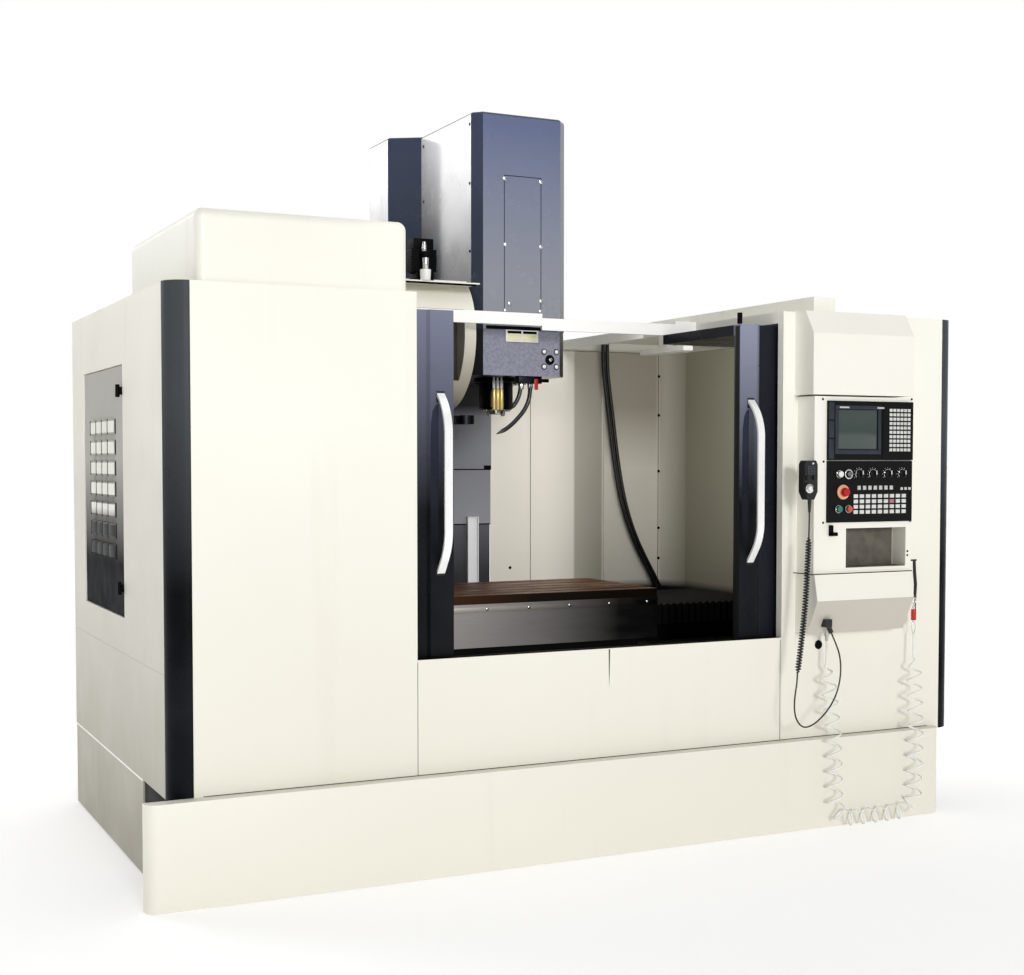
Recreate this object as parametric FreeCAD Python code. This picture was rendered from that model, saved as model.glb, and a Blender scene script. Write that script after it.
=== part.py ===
import FreeCAD, Part
import math
import os

# Vertical machining centre with a full enclosure, seen from the front along +Y.
# Millimetres, +Z up. Sizes and places are given about the spindle axis, with Z = 0 on the floor.
# The finished pieces are moved so that the origin is the middle of the machine's footprint.

V = FreeCAD.Vector

# ---------------------------------------------------------------- enclosure
ENCLOSURE_LENGTH = 3702.0
ENCLOSURE_RIGHT = 1842.0
ENCLOSURE_LEFT = ENCLOSURE_LENGTH - ENCLOSURE_RIGHT
ENCLOSURE_HEIGHT = 2300.0
FRONT_TO_SPINDLE = 1150.0
SIDE_DEPTH = 1942.0
PANEL_BOTTOM = 387.0
PANEL_DEPTH = 40.0
SHEET = 3.0
SEAM = 0.8
TRIM_RADIUS = 85.0
TRIM_WALL = 4.0
SIDE_BAND_TOP = 848.0
SIDE_STRIP_DEPTH = 316.0
BASE_PANEL_SETBACK = 467.0
BASE_PANEL_GAP = 8.0
OPENING_LEFT = 884.0
OPENING_RIGHT = 855.0
SILL_HEIGHT = 859.0
ROOF_DROP = 50.0
ROOF_TAIL_WIDTH = 115.0
ROOF_TAIL_FRONT = -430.0
REAR_GAP_HALF = 440.0
REAR_CLEARANCE = 6.0

DUCT_OFFSET = 164.0
DUCT_WIDTH = 116.0
DUCT_HEIGHT = 72.0
DUCT_LENGTH = 1500.0

HOOD_LEFT_INSET = 110.0
HOOD_RIGHT_INSET = 31.0
HOOD_SETBACK = 10.0
HOOD_DEPTH = 1120.0
HOOD_HEIGHT = 270.0
HOOD_RADIUS = 35.0

# ---------------------------------------------------------------- coolant tank
TANK_FRONT_STEP = 60.0
SKIRT_TOP = 401.0
SKIRT_LEFT_OVERHANG = 104.0
SKIRT_RIGHT_INSET = 117.0
SKIRT_CORNER = 50.0
SKIRT_WALL = 5.0
SKIRT_GROUND_GAP = 2.0
TANK_WALL = 4.0
TANK_DEPTH = 400.0
TANK_HEIGHT = 330.0
TANK_BOTTOM = 14.0
TANK_SIDE_INSET = 130.0
TANK_FOOT = 30.0
PUMP_RADIUS = 75.0
PUMP_HEIGHT = 210.0

# ---------------------------------------------------------------- doors
LEAF_WIDTH = 895.0
LEAF_SETBACK = 54.0
LEAF_THICKNESS = 42.0
LEAF_BOTTOM = 850.0
LEAF_TOP = 2240.0
LEFT_LEAF_EDGE = -705.0
RIGHT_LEAF_EDGE = 665.0
STILE_WIDTH = 100.0
STILE_STEP = 12.0
WINDOW_STILE = 200.0
WINDOW_BACK_STILE = 90.0
WINDOW_LOW = 300.0
WINDOW_HIGH = 250.0
GLASS = 8.0
GLASS_SEAT = 10.0
FIT_GAP = 0.3
DOOR_ROOF_DEPTH = 600.0
DOOR_ROOF_DROP = 45.0
ROLLER_RADIUS = 13.0
ROLLER_WIDTH = 16.0
RAIL_THICKNESS = 14.0
RAIL_HEIGHT = 55.0
RAIL_STEP = 20.0
RAIL_STEP_X = 25.0
RAIL_END_HEIGHT = 70.0
RAIL_GAP = 10.0
TRACK_HEIGHT = 30.0
HANDLE_FROM_EDGE = 57.0
HANDLE_WIDTH = 33.0
HANDLE_THICKNESS = 10.0
HANDLE_REACH = 85.0
HANDLE_TOP = 1907.0
HANDLE_KNEE_TOP = 1828.0
HANDLE_KNEE_LOW = 1306.0
HANDLE_LOW = 1197.0
HANDLE_BEND = 200.0

# ---------------------------------------------------------------- bed and column
FOOT_HEIGHT = 60.0
FOOT_RADIUS = 60.0
FOOT_PAD = 20.0
STUD_RADIUS = 14.0
BED_HALF_WIDTH = 660.0
BED_TOP_HALF_WIDTH = 570.0
BED_FRONT = -720.0
BED_BACK = 1560.0
BED_TOP = 560.0
COLUMN_PAD_TOP = 640.0
COLUMN_PAD_FRONT = 745.0
BED_POCKET = 60.0
COLUMN_FRONT = 900.0
COLUMN_DEPTH = 640.0
COLUMN_HALF_WIDTH = 335.0
COLUMN_FOOT_HALF_WIDTH = 430.0
COLUMN_FOOT_HEIGHT = 120.0
COLUMN_TAPER_TOP = 1150.0
COLUMN_TOP = 2880.0
COLUMN_WALL = 45.0
COLUMN_BOLT_RADIUS = 18.0
COLUMN_BOLT_HEAD = 24.0

RAIL_SECTION = 45.0
RAIL_RISE = 48.0
BLOCK_GAP = 0.3
Y_RAIL_SPACING = 480.0
Y_RAIL_LENGTH = 1380.0
X_RAIL_SPACING = 240.0
Z_RAIL_SPACING = 270.0
Z_RAIL_BOTTOM = 1000.0
SCREW_RADIUS = 25.0
MOTOR_RADIUS = 90.0
MOTOR_LENGTH = 240.0

# ---------------------------------------------------------------- travels
X_TRAVEL_HALF = 650.0
Y_TRAVEL_HALF = 350.0
Z_TRAVEL = 690.0

# ---------------------------------------------------------------- saddle and table
SADDLE_HALF_LENGTH = 1340.0
SADDLE_CORE_HALF = 600.0
SADDLE_HALF_DEPTH = 330.0
SADDLE_WING_HALF_DEPTH = 290.0
SADDLE_TOP = 840.0
SADDLE_CORE_HEIGHT = 200.0
SADDLE_WING_HEIGHT = 80.0
SADDLE_END_PLATE = 6.0
TABLE_HALF_LENGTH = 700.0
TABLE_HALF_DEPTH = 350.0
TABLE_TOP = 1025.0
TABLE_THICKNESS = 70.0
TABLE_BODY_HALF_LENGTH = 445.0
TABLE_BODY_HALF_DEPTH = 295.0
BLOCK_LENGTH = 180.0
BLOCK_HALF_WIDTH = 50.0
SLOT_COUNT = 5
SLOT_PITCH = 130.0
SLOT_NECK = 18.0
SLOT_NECK_DEPTH = 28.0
SLOT_FOOT = 32.0
SLOT_FOOT_DEPTH = 14.0
GUARD_LOW = 785.0
GUARD_PROUD = 4.0
STRIP_HEIGHT = 38.0

BELLOWS_TOP = 948.0
BELLOWS_HALF_DEPTH = 340.0
BELLOWS_WALL = 22.0
BELLOWS_FOLD = 16.0
BELLOWS_FOLDS = 14
BELLOWS_BOTTOM = 845.0
APRON_BELLOWS_TOP = 740.0
APRON_BELLOWS_HALF = 640.0
CHAMBER_FRONT = -1040.0

# ---------------------------------------------------------------- head
HEAD_HALF_WIDTH = 242.0
HEAD_FRONT = -286.0
HEAD_BEVEL = 42.0
HEAD_FLARE_START = 350.0
HEAD_FLARE_END = 440.0
HEAD_REAR_HALF_WIDTH = 385.0
HEAD_BACK = 697.0
HEAD_BOTTOM = 2039.0
HEAD_COVER_BOTTOM = 2250.0
HEAD_COVER_TOP = 3245.0
COVER_SHEET = 4.0
COVER_EDGE_RADIUS = 18.0
CASTING_INSET = 3.0
CASTING_UPPER_INSET = 14.0
CASTING_TOP = 2620.0
NECK_HALF_WIDTH = 298.0
NECK_BACK = 752.0
SLIDE_HALF_WIDTH = 350.0
SLIDE_BOTTOM = 1950.0
SLIDE_TOP = 2640.0
SLIDE_THICKNESS = 50.0
SPINDLE_MOTOR_RADIUS = 115.0
SPINDLE_MOTOR_HEIGHT = 300.0

CARTRIDGE_RADIUS = 81.5
CARTRIDGE_FLANGE = 108.0
CARTRIDGE_FLANGE_HEIGHT = 20.0
CARTRIDGE_BOTTOM = 1889.0
SPINDLE_NOSE = 1867.0
SPINDLE_RADIUS = 45.0
SPINDLE_TOP = 2560.0
TAPER_MOUTH_RADIUS = 22.2
TAPER_DEPTH = 65.0
TAPER_RATIO = 7.0 / 24.0
DRAWBAR_RADIUS = 8.5
DRIVE_KEY = 16.0

MANIFOLD_RADIUS = 27.0
MANIFOLD_BOTTOM = 1888.0
MANIFOLD_TOP = 1980.0
FITTING_RADIUS = 6.0
FITTING_TOP = 2020.0
NOZZLE_RADIUS = 10.0
NOZZLE_BLOCK = 34.0
NUT_LOW = 250.0
NUT_HEIGHT = 170.0

# Points of the two nozzle hoses: X, and how far below the head's underside.
NOZZLE_LONG = [(62, 34), (60, 74), (52, 117), (30, 159), (0, 193), (-34, 225), (-72, 253), (-114, 271)]
NOZZLE_SHORT = [(14, 34), (12, 67), (2, 101), (-16, 131), (-40, 157)]

# ---------------------------------------------------------------- Z way covers
Z_COVER_HALF_WIDTH = 305.0
Z_COVER_FRONT = 706.0
Z_COVER_BACK = 736.0
Z_COVER_STEP = 3.3
Z_UPPER_BOTTOM = 1594.0
Z_MIDDLE_BOTTOM = 1302.0
Z_MIDDLE_TOP = 1650.0
Z_LOWER_TOP = 1338.0
CHANNEL_HEIGHT = 605.0
CHANNEL_WIDTH = 62.0
CHANNEL_WALL = 4.0
CHANNEL_DEPTH = 20.0
CHANNEL_X = 190.0
CHANNEL_LOW = 740.0
CHANNEL_FOOT = 140.0
CHANNEL_GAP = 2.0

# ---------------------------------------------------------------- tool magazine
MAGAZINE_RADIUS = 340.0
MAGAZINE_CENTRE_Z = 2217.0
MAGAZINE_RIGHT = -260.0
MAGAZINE_WIDTH = 440.0
MAGAZINE_FLAT_RISE = 253.0
MAGAZINE_LIP_DROP = 30.0
MAGAZINE_LIP_BACK = 220.0
MAGAZINE_LIP_FRONT = 380.0
MAGAZINE_LIP = 6.0
MAGAZINE_RING = 56.0
WINDOW_BOTTOM_Z = 2010.0
WINDOW_TOP_Z = 2330.0
POT_COUNT = 24
POT_CIRCLE = 218.0
POT_RADIUS = 26.0
PLATE_MARGIN = 3.0
POT_LENGTH = 96.0
POT_BORE = 19.0
DRUM_PLATE = 16.0
DRUM_OFFSET = 190.0
DRUM_SHAFT = 30.0
ARM_REACH = 300.0
ARM_THICKNESS = 40.0
ARM_TOP = 1850.0
ARM_SHAFT_RADIUS = 28.0
GRIP_RADIUS = 32.0
GRIP_OUTER = 44.0
CAM_BOX_BOTTOM = 1960.0
CAM_BOX_WIDTH = 110.0
DRIVE_MOTOR_LEFT = -565.0
DRIVE_MOTOR_WIDTH = 110.0
DRIVE_MOTOR_HEIGHT = 195.0
BRACKET_LOW = 2306.0
BRACKET_HIGH = 2400.0

# ---------------------------------------------------------------- chamber
WALL_Y = 722.0
LINING_TOP = 2245.0
LINING_BOTTOM = 700.0
RIGHT_WALL_X = 1440.0
LEFT_WALL_X = -1410.0
CORNER_RUN = 70.0
CORNER_DROP = 160.0
FOLD_X = 1002.0
FOLD_WIDTH = 47.0
FOLD_RISE = 8.0
MITRE = 2.0
FLOOR_EDGE = 560.0
ROOF_CLEARANCE = 5.0

# ---------------------------------------------------------------- operator station
STATION_LEFT = 918.0
STATION_RIGHT = 1475.0
STATION_HOOD_PROUD = 135.0
STATION_HOOD_TOP_PROUD = 75.0
STATION_HOOD_SLOPE_LOW = 2200.0
STATION_HOOD_LOW = 1932.0
CABINET_LEFT = 935.0
CABINET_RIGHT = 1478.0
CABINET_PROUD = 122.0
CABINET_TOP = 1925.0
SHELF_TOP = 1146.0
SHELF_TOP_PROUD = 135.0
SHELF_PROUD = 160.0
SHELF_KNEE = 1030.0
SHELF_LOW = 880.0
SHELF_LOW_PROUD = 86.0
POCKET_LEFT = 1111.0
POCKET_WIDTH = 336.0
POCKET_LOW = 1169.0
POCKET_HEIGHT = 175.0
POCKET_DEPTH = 95.0
PLATE_LEFT = 1001.0
PLATE_WIDTH = 473.0
DISPLAY_LOW = 1646.0
DISPLAY_HEIGHT = 260.0
DISPLAY_THICKNESS = 12.0
SCREEN_LEFT = 1056.0
SCREEN_WIDTH = 216.0
SCREEN_LOW = 1694.0
SCREEN_HEIGHT = 174.0
SCREEN_RECESS = 4.0
CONTROL_LOW = 1371.0
CONTROL_HEIGHT = 271.0
CONTROL_THICKNESS = 8.0
DATA_KEY_COLUMNS = 6
DATA_KEY_ROWS = 10
DATA_KEY_LEFT = 1346.0
DATA_KEY_TOP = 1868.0
DATA_KEY_PITCH_X = 20.5
DATA_KEY_PITCH_Z = 19.6
DATA_KEY_WIDTH = 15.0
DATA_KEY_HEIGHT = 13.0
KEY_RISE = 2.5
COMMAND_KEY_COLUMNS = 9
COMMAND_KEY_ROWS = 4
COMMAND_KEY_LEFT = 1156.0
COMMAND_KEY_TOP = 1486.0
COMMAND_KEY_PITCH_X = 33.75
COMMAND_KEY_PITCH_Z = 23.4
COMMAND_KEY_WIDTH = 23.0
COMMAND_KEY_HEIGHT = 16.0
BUTTON_ROW = 1430.0
START_X = 1060.0
STOP_X = 1115.0
RESET_X = 1064.0
UPPER_ROW = 1584.0
KEY_SWITCH_X = 1114.0
KNOB_XS = (1174.0, 1250.0, 1334.0, 1415.0)
KNOB_RADIUS = 17.0
KNOB_RISE = 22.0
BUTTON_RADIUS = 13.0
BUTTON_RISE = 12.0
BUTTON_TRAVEL = 4.0
STEM_RADIUS = 6.0
STEM_LENGTH = 22.0
STOP_MUSHROOM_X = 1084.0
STOP_MUSHROOM_Z = 1505.0
STOP_MUSHROOM_RADIUS = 20.0
STOP_MUSHROOM_RISE = 26.0
STOP_TRAVEL = 5.0
STOP_RING = 29.0
COLLAR_RADIUS = 16.0
COLLAR_RISE = 5.0
LATCH_X = 1016.0
LATCH_Z = 1313.0

# ---------------------------------------------------------------- work light
LAMP_LEFT = 1010.0
LAMP_WIDTH = 56.0
LAMP_FRONT = -90.0
LAMP_LENGTH = 430.0
LAMP_THICKNESS = 27.0
LAMP_DROP = 95.0
LAMP_ARM_INSET = 8.0
LAMP_ARM_FRONT = 90.0
LAMP_ARM_LENGTH = 70.0

# ---------------------------------------------------------------- pendant, cords, air gun
PENDANT_X = 882.0
PENDANT_Y = -1322.0
PENDANT_WIDTH = 68.0
PENDANT_DEPTH = 44.0
PENDANT_LOW = 1474.0
PENDANT_HEIGHT = 170.0
PENDANT_NECK = 34.0
PENDANT_SHOULDER = 18.0
PENDANT_EDGE = 6.0
SELECTOR_RADIUS = 9.0
DIAL_X = 864.0
DIAL_RADIUS = 22.0
DIAL_RISE = 12.0
DIAL_Z = 1523.0
DIAL_SEAT = 1.0
DIAL_GRIP = 16.0
PLUG_RADIUS = 11.0
PLUG_LENGTH = 46.0
CORD_RADIUS = 3.5
CURL_RADIUS = 13.5
GUN_X = 1552.0
GUN_Y = -1210.0
GUN_Z = 1187.0
GUN_STRAP = 166.0
GUN_RING = 17.0
GUN_LINK = 40.0
GUN_GRIP = 51.0
GUN_TIP = 67.0
HOSE_RADIUS = 4.0
HOSE_CURL_RADIUS = 38.0
CORD_GAP = 1.5

# Points of the free cord from the pendant's strain relief to the socket under the shelf.
CORD_STRAIGHT = [(890, -1300, 1419), (889.5, -1300, 1366), (888, -1300, 1313)]
CORD_CURLED = [(888, -1300, 1313), (880, -1300, 1120), (864, -1300, 930), (833, -1300, 717)]
CORD_TAIL = [
    (833, -1300, 717), (829, -1301, 672), (818, -1303, 622), (813, -1305, 570), (822, -1307, 518),
    (858, -1309, 480), (908, -1310, 488), (958, -1310, 520), (1004, -1308, 562), (1040, -1304, 612),
    (1062, -1300, 668), (1072, -1295, 726), (1069, -1290, 786), (1050, -1284, 840), (1029, -1279, 886),
]

WASH_HOSE_RADIUS = 10.5
WASH_HOSE_PITCH = 26.0
WASH_COLLAR = 26.0

# Points of the right one of the two wash hoses, from its gland down to the block on the wall.
WASH_HOSE = [
    (1006, 688, 2285), (1006, 688, 2162), (1022, 688, 2038), (1041, 688, 1914), (1058, 688, 1789),
    (1077, 688, 1665), (1099, 688, 1543), (1126, 688, 1424), (1161, 688, 1310), (1206, 688, 1203),
    (1258, 688, 1104), (1312, 688, 1012), (1356, 688, 930),
]

# Points of the free air hose from the gun down to the floor and back up to its port.
HOSE_ROUTE = [
    (1547, -1216, 742), (1540, -1248, 500), (1531, -1253, 240), (1529, -1253, 44), (1330, -1253, 43),
    (1262, -1253, 43), (1080, -1253, 44), (1077, -1253, 240), (1066, -1248, 500), (1059, -1208, 742),
]

FRONT_Y = -FRONT_TO_SPINDLE
BACK_Y = FRONT_Y + SIDE_DEPTH
LEAF_FRONT = FRONT_Y + LEAF_SETBACK
LEAF_BACK = LEAF_FRONT + LEAF_THICKNESS
RAIL_FRONT = LEAF_BACK + DOOR_ROOF_DEPTH + RAIL_GAP
MAGAZINE_FLAT_TOP = MAGAZINE_CENTRE_Z + MAGAZINE_FLAT_RISE
MAGAZINE_LIP_Z = MAGAZINE_FLAT_TOP - MAGAZINE_LIP_DROP
TABLE_UNDERSIDE = TABLE_TOP - TABLE_THICKNESS
ORIGIN_X = (ENCLOSURE_RIGHT - ENCLOSURE_LEFT - SKIRT_LEFT_OVERHANG) / 2
ORIGIN_Y = (BED_BACK + PENDANT_Y - DIAL_SEAT - DIAL_RISE - DIAL_GRIP) / 2
SHELF_PROFILE = [
    (FRONT_Y, SHELF_LOW),
    (FRONT_Y - SHELF_LOW_PROUD, SHELF_LOW),
    (FRONT_Y - SHELF_PROUD, SHELF_KNEE),
    (FRONT_Y - SHELF_TOP_PROUD, SHELF_TOP),
    (FRONT_Y, SHELF_TOP),
]
HEAD_PLAN = [
    (-HEAD_HALF_WIDTH, HEAD_FRONT + HEAD_BEVEL),
    (-HEAD_HALF_WIDTH + HEAD_BEVEL, HEAD_FRONT),
    (HEAD_HALF_WIDTH - HEAD_BEVEL, HEAD_FRONT),
    (HEAD_HALF_WIDTH, HEAD_FRONT + HEAD_BEVEL),
    (HEAD_HALF_WIDTH, HEAD_FLARE_START),
    (HEAD_REAR_HALF_WIDTH, HEAD_FLARE_END),
    (HEAD_REAR_HALF_WIDTH, HEAD_BACK),
    (-HEAD_REAR_HALF_WIDTH, HEAD_BACK),
    (-HEAD_REAR_HALF_WIDTH, HEAD_FLARE_END),
    (-HEAD_HALF_WIDTH, HEAD_FLARE_START),
]


# ---------------------------------------------------------------- building helpers
def block(x, y, z):
    """A box between the low and high values of each axis."""
    size = (abs(x[1] - x[0]), abs(y[1] - y[0]), abs(z[1] - z[0]))
    return Part.makeBox(*size, V(min(x), min(y), min(z)))


def rod(start, direction, radius, length):
    return Part.makeCylinder(radius, length, V(*start), V(*direction))


def face_of(points):
    return Part.Face(Part.makePolygon(points + [points[0]]))


def prism_x(profile, x0, x1):
    """Extrude a (y, z) profile along X."""
    return face_of([V(x0, y, z) for y, z in profile]).extrude(V(x1 - x0, 0, 0))


def prism_y(profile, y0, y1):
    """Extrude an (x, z) profile along Y."""
    return face_of([V(x, y0, z) for x, z in profile]).extrude(V(0, y1 - y0, 0))


def prism_z(profile, z0, z1):
    """Extrude an (x, y) profile along Z."""
    return face_of([V(x, y, z0) for x, y in profile]).extrude(V(0, 0, z1 - z0))


def inset(profile, distance):
    """Move every side of a closed counter-clockwise outline inwards by one distance."""
    moved = []
    count = len(profile)
    for i in range(count):
        before, here, after = profile[i - 1], profile[i], profile[(i + 1) % count]
        moved.append(mitre(before, here, after, distance))
    return moved


def mitre(before, here, after, distance):
    """The corner of two sides that both moved to their left by one distance."""
    ax, ay = here[0] - before[0], here[1] - before[1]
    bx, by = after[0] - here[0], after[1] - here[1]
    a, b = math.hypot(ax, ay), math.hypot(bx, by)
    nax, nay, nbx, nby = -ay / a, ax / a, -by / b, bx / b
    scale = distance / (1.0 + nax * nbx + nay * nby)
    return (here[0] + (nax + nbx) * scale, here[1] + (nay + nby) * scale)


def tray(x, y, z, open_side, wall=SHEET):
    """A folded sheet panel: a box whose one side is left open."""
    low = [x[0] + wall, y[0] + wall, z[0] + wall]
    high = [x[1] - wall, y[1] - wall, z[1] - wall]
    axis = "xyz".index(open_side[1])
    if open_side[0] == "+":
        high[axis] += 2 * wall
    else:
        low[axis] -= 2 * wall
    hollow = block((low[0], high[0]), (low[1], high[1]), (low[2], high[2]))
    return block(x, y, z).cut(hollow)


def turned(shape, axis_point, axis, degrees):
    copy = shape.copy()
    copy.rotate(V(*axis_point), V(*axis), degrees)
    return copy


def mirrored_x(shape):
    return shape.mirror(V(0, 0, 0), V(1, 0, 0))


def fuse_all(shapes):
    return shapes[0].multiFuse(shapes[1:]).removeSplitter()


def cut_all(shape, tools):
    return shape.cut(Part.makeCompound(tools))


def route_wire(points):
    """Straight runs joined by tangent arcs, each as large as its two runs allow."""
    points = [V(*p) for p in points]
    edges = []
    radii = []
    last = points[0]
    for i in range(1, len(points) - 1):
        to_before = points[i - 1] - points[i]
        to_after = points[i + 1] - points[i]
        reach = 0.45 * min(to_before.Length, to_after.Length)
        half_turn = (math.pi - to_before.getAngle(to_after)) / 2.0
        radius = reach / math.tan(half_turn)
        to_before.normalize()
        to_after.normalize()
        start = points[i] + to_before * reach
        end = points[i] + to_after * reach
        inward = to_before + to_after
        inward.normalize()
        middle = points[i] + inward * (radius / math.cos(half_turn) - radius)
        edges.append(Part.LineSegment(last, start).toShape())
        edges.append(Part.Arc(start, middle, end).toShape())
        radii.append(radius)
        last = end
    edges.append(Part.LineSegment(last, points[-1]).toShape())
    return Part.Wire(edges), radii


def tube_along(points, radius, label):
    """A round tube along a route, with its arcs' radii and its volume printed."""
    wire, radii = route_wire(points)
    first = V(*points[0])
    heading = V(*points[1]) - first
    ring = Part.Wire(Part.Circle(first, heading, radius).toShape())
    solid = wire.makePipeShell([ring], True, False)
    expected = math.pi * radius ** 2 * wire.Length
    print(label, "length", round(wire.Length, 1), "smallest radius", round(min(radii), 1),
          "volume ratio", round(solid.Volume / expected, 4))
    return solid


# ---------------------------------------------------------------- bed, column, guides
def machine_bed():
    """Cast base: a tapered box with a raised pad for the column and cored sides."""
    profile = [
        (-BED_HALF_WIDTH, FOOT_HEIGHT),
        (BED_HALF_WIDTH, FOOT_HEIGHT),
        (BED_HALF_WIDTH, FOOT_HEIGHT + 180),
        (BED_TOP_HALF_WIDTH, BED_TOP),
        (-BED_TOP_HALF_WIDTH, BED_TOP),
        (-BED_HALF_WIDTH, FOOT_HEIGHT + 180),
    ]
    body = prism_y(profile, BED_FRONT, BED_BACK)
    pad = block((-COLUMN_FOOT_HALF_WIDTH - 20, COLUMN_FOOT_HALF_WIDTH + 20), (COLUMN_PAD_FRONT, BED_BACK),
                (BED_TOP - 20, COLUMN_PAD_TOP))
    body = body.fuse(pad)
    pockets = []
    pocket_length = (BED_BACK - BED_FRONT) / 5.0 - 80
    for i in range(5):
        y = BED_FRONT + 40 + i * (pocket_length + 80)
        for side in (-1, 1):
            outer = side * (BED_HALF_WIDTH + 10)
            inner = side * (BED_HALF_WIDTH - BED_POCKET)
            pockets.append(block((inner, outer), (y, y + pocket_length), (FOOT_HEIGHT + 40, FOOT_HEIGHT + 170)))
    trough = block((-70, 70), (BED_FRONT - 10, COLUMN_PAD_FRONT - 40), (BED_TOP - 90, BED_TOP + 10))
    return cut_all(body, pockets + [trough]).removeSplitter()


def column():
    """Cast column: a wide bolted foot that narrows to a hollow tower."""
    profile = [
        (-COLUMN_FOOT_HALF_WIDTH, COLUMN_PAD_TOP),
        (COLUMN_FOOT_HALF_WIDTH, COLUMN_PAD_TOP),
        (COLUMN_FOOT_HALF_WIDTH, COLUMN_PAD_TOP + COLUMN_FOOT_HEIGHT),
        (COLUMN_HALF_WIDTH, COLUMN_TAPER_TOP),
        (COLUMN_HALF_WIDTH, COLUMN_TOP),
        (-COLUMN_HALF_WIDTH, COLUMN_TOP),
        (-COLUMN_HALF_WIDTH, COLUMN_TAPER_TOP),
        (-COLUMN_FOOT_HALF_WIDTH, COLUMN_PAD_TOP + COLUMN_FOOT_HEIGHT),
    ]
    back = COLUMN_FRONT + COLUMN_DEPTH
    tower = prism_y(profile, COLUMN_FRONT, back)
    core = block((-COLUMN_HALF_WIDTH + COLUMN_WALL, COLUMN_HALF_WIDTH - COLUMN_WALL),
                 (COLUMN_FRONT + COLUMN_WALL, back - COLUMN_WALL),
                 (COLUMN_PAD_TOP + COLUMN_FOOT_HEIGHT, COLUMN_TOP - COLUMN_WALL))
    tools = [core]
    window = (COLUMN_TOP - COLUMN_TAPER_TOP) / 4.0
    for i in range(4):
        z = COLUMN_TAPER_TOP + 60 + i * window
        tools.append(block((-COLUMN_HALF_WIDTH - 10, COLUMN_HALF_WIDTH + 10),
                           (COLUMN_FRONT + 190, back - 190), (z, z + window - 160)))
    return Part.makeCompound([cut_all(tower, tools)] + column_bolts())


def y_rail(x):
    return block((x - RAIL_SECTION / 2, x + RAIL_SECTION / 2), (-Y_RAIL_LENGTH / 2, Y_RAIL_LENGTH / 2),
                 (BED_TOP, BED_TOP + RAIL_RISE))


def z_rail(x):
    return block((x - RAIL_SECTION / 2, x + RAIL_SECTION / 2), (COLUMN_FRONT - RAIL_RISE, COLUMN_FRONT),
                 (Z_RAIL_BOTTOM, COLUMN_TOP - 20))


def guides_and_screws():
    """Linear rails on bed and column, with the Y and Z ball screws, their bearings and motors."""
    solids = [y_rail(-Y_RAIL_SPACING), y_rail(Y_RAIL_SPACING), z_rail(-Z_RAIL_SPACING), z_rail(Z_RAIL_SPACING)]
    y_axis_z = BED_TOP - 30
    y_screw = rod((0, -Y_RAIL_LENGTH / 2, y_axis_z), (0, 1, 0), SCREW_RADIUS, Y_RAIL_LENGTH)
    y_bearing = block((-60, 60), (-Y_RAIL_LENGTH / 2, -Y_RAIL_LENGTH / 2 + 50), (BED_TOP - 90, BED_TOP + 20))
    y_tail = block((-60, 60), (Y_RAIL_LENGTH / 2 - 40, Y_RAIL_LENGTH / 2), (BED_TOP - 90, BED_TOP + 20))
    solids.append(fuse_all([y_screw, y_bearing, y_tail]))
    z_axis_y = z_screw_y()
    z_screw = rod((0, z_axis_y, Z_RAIL_BOTTOM), (0, 0, 1), SCREW_RADIUS, COLUMN_TOP + 40 - Z_RAIL_BOTTOM)
    z_foot = block((-60, 60), (z_axis_y - 40, COLUMN_FRONT), (Z_RAIL_BOTTOM, Z_RAIL_BOTTOM + 50))
    z_plate = block((-110, 110), (z_axis_y - 100, COLUMN_FRONT + 90), (COLUMN_TOP, COLUMN_TOP + 30))
    z_motor = rod((0, z_axis_y, COLUMN_TOP + 30), (0, 0, 1), MOTOR_RADIUS, MOTOR_LENGTH)
    solids.append(fuse_all([z_screw, z_foot, z_plate, z_motor]))
    return Part.makeCompound(solids)


def z_screw_y():
    return COLUMN_FRONT - RAIL_RISE


def levelling_feet():
    """Round pads under studs, screwed up into the bed."""
    feet = []
    for x in (-BED_HALF_WIDTH + 90, BED_HALF_WIDTH - 90):
        for i in range(4):
            y = BED_FRONT + 110 + i * (BED_BACK - BED_FRONT - 220) / 3.0
            pad = Part.makeCone(FOOT_RADIUS, FOOT_RADIUS * 0.6, FOOT_PAD, V(x, y, 0))
            stud = rod((x, y, FOOT_PAD), (0, 0, 1), STUD_RADIUS, FOOT_HEIGHT - FOOT_PAD)
            feet.append(pad.fuse(stud))
    return Part.makeCompound(feet)


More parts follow.
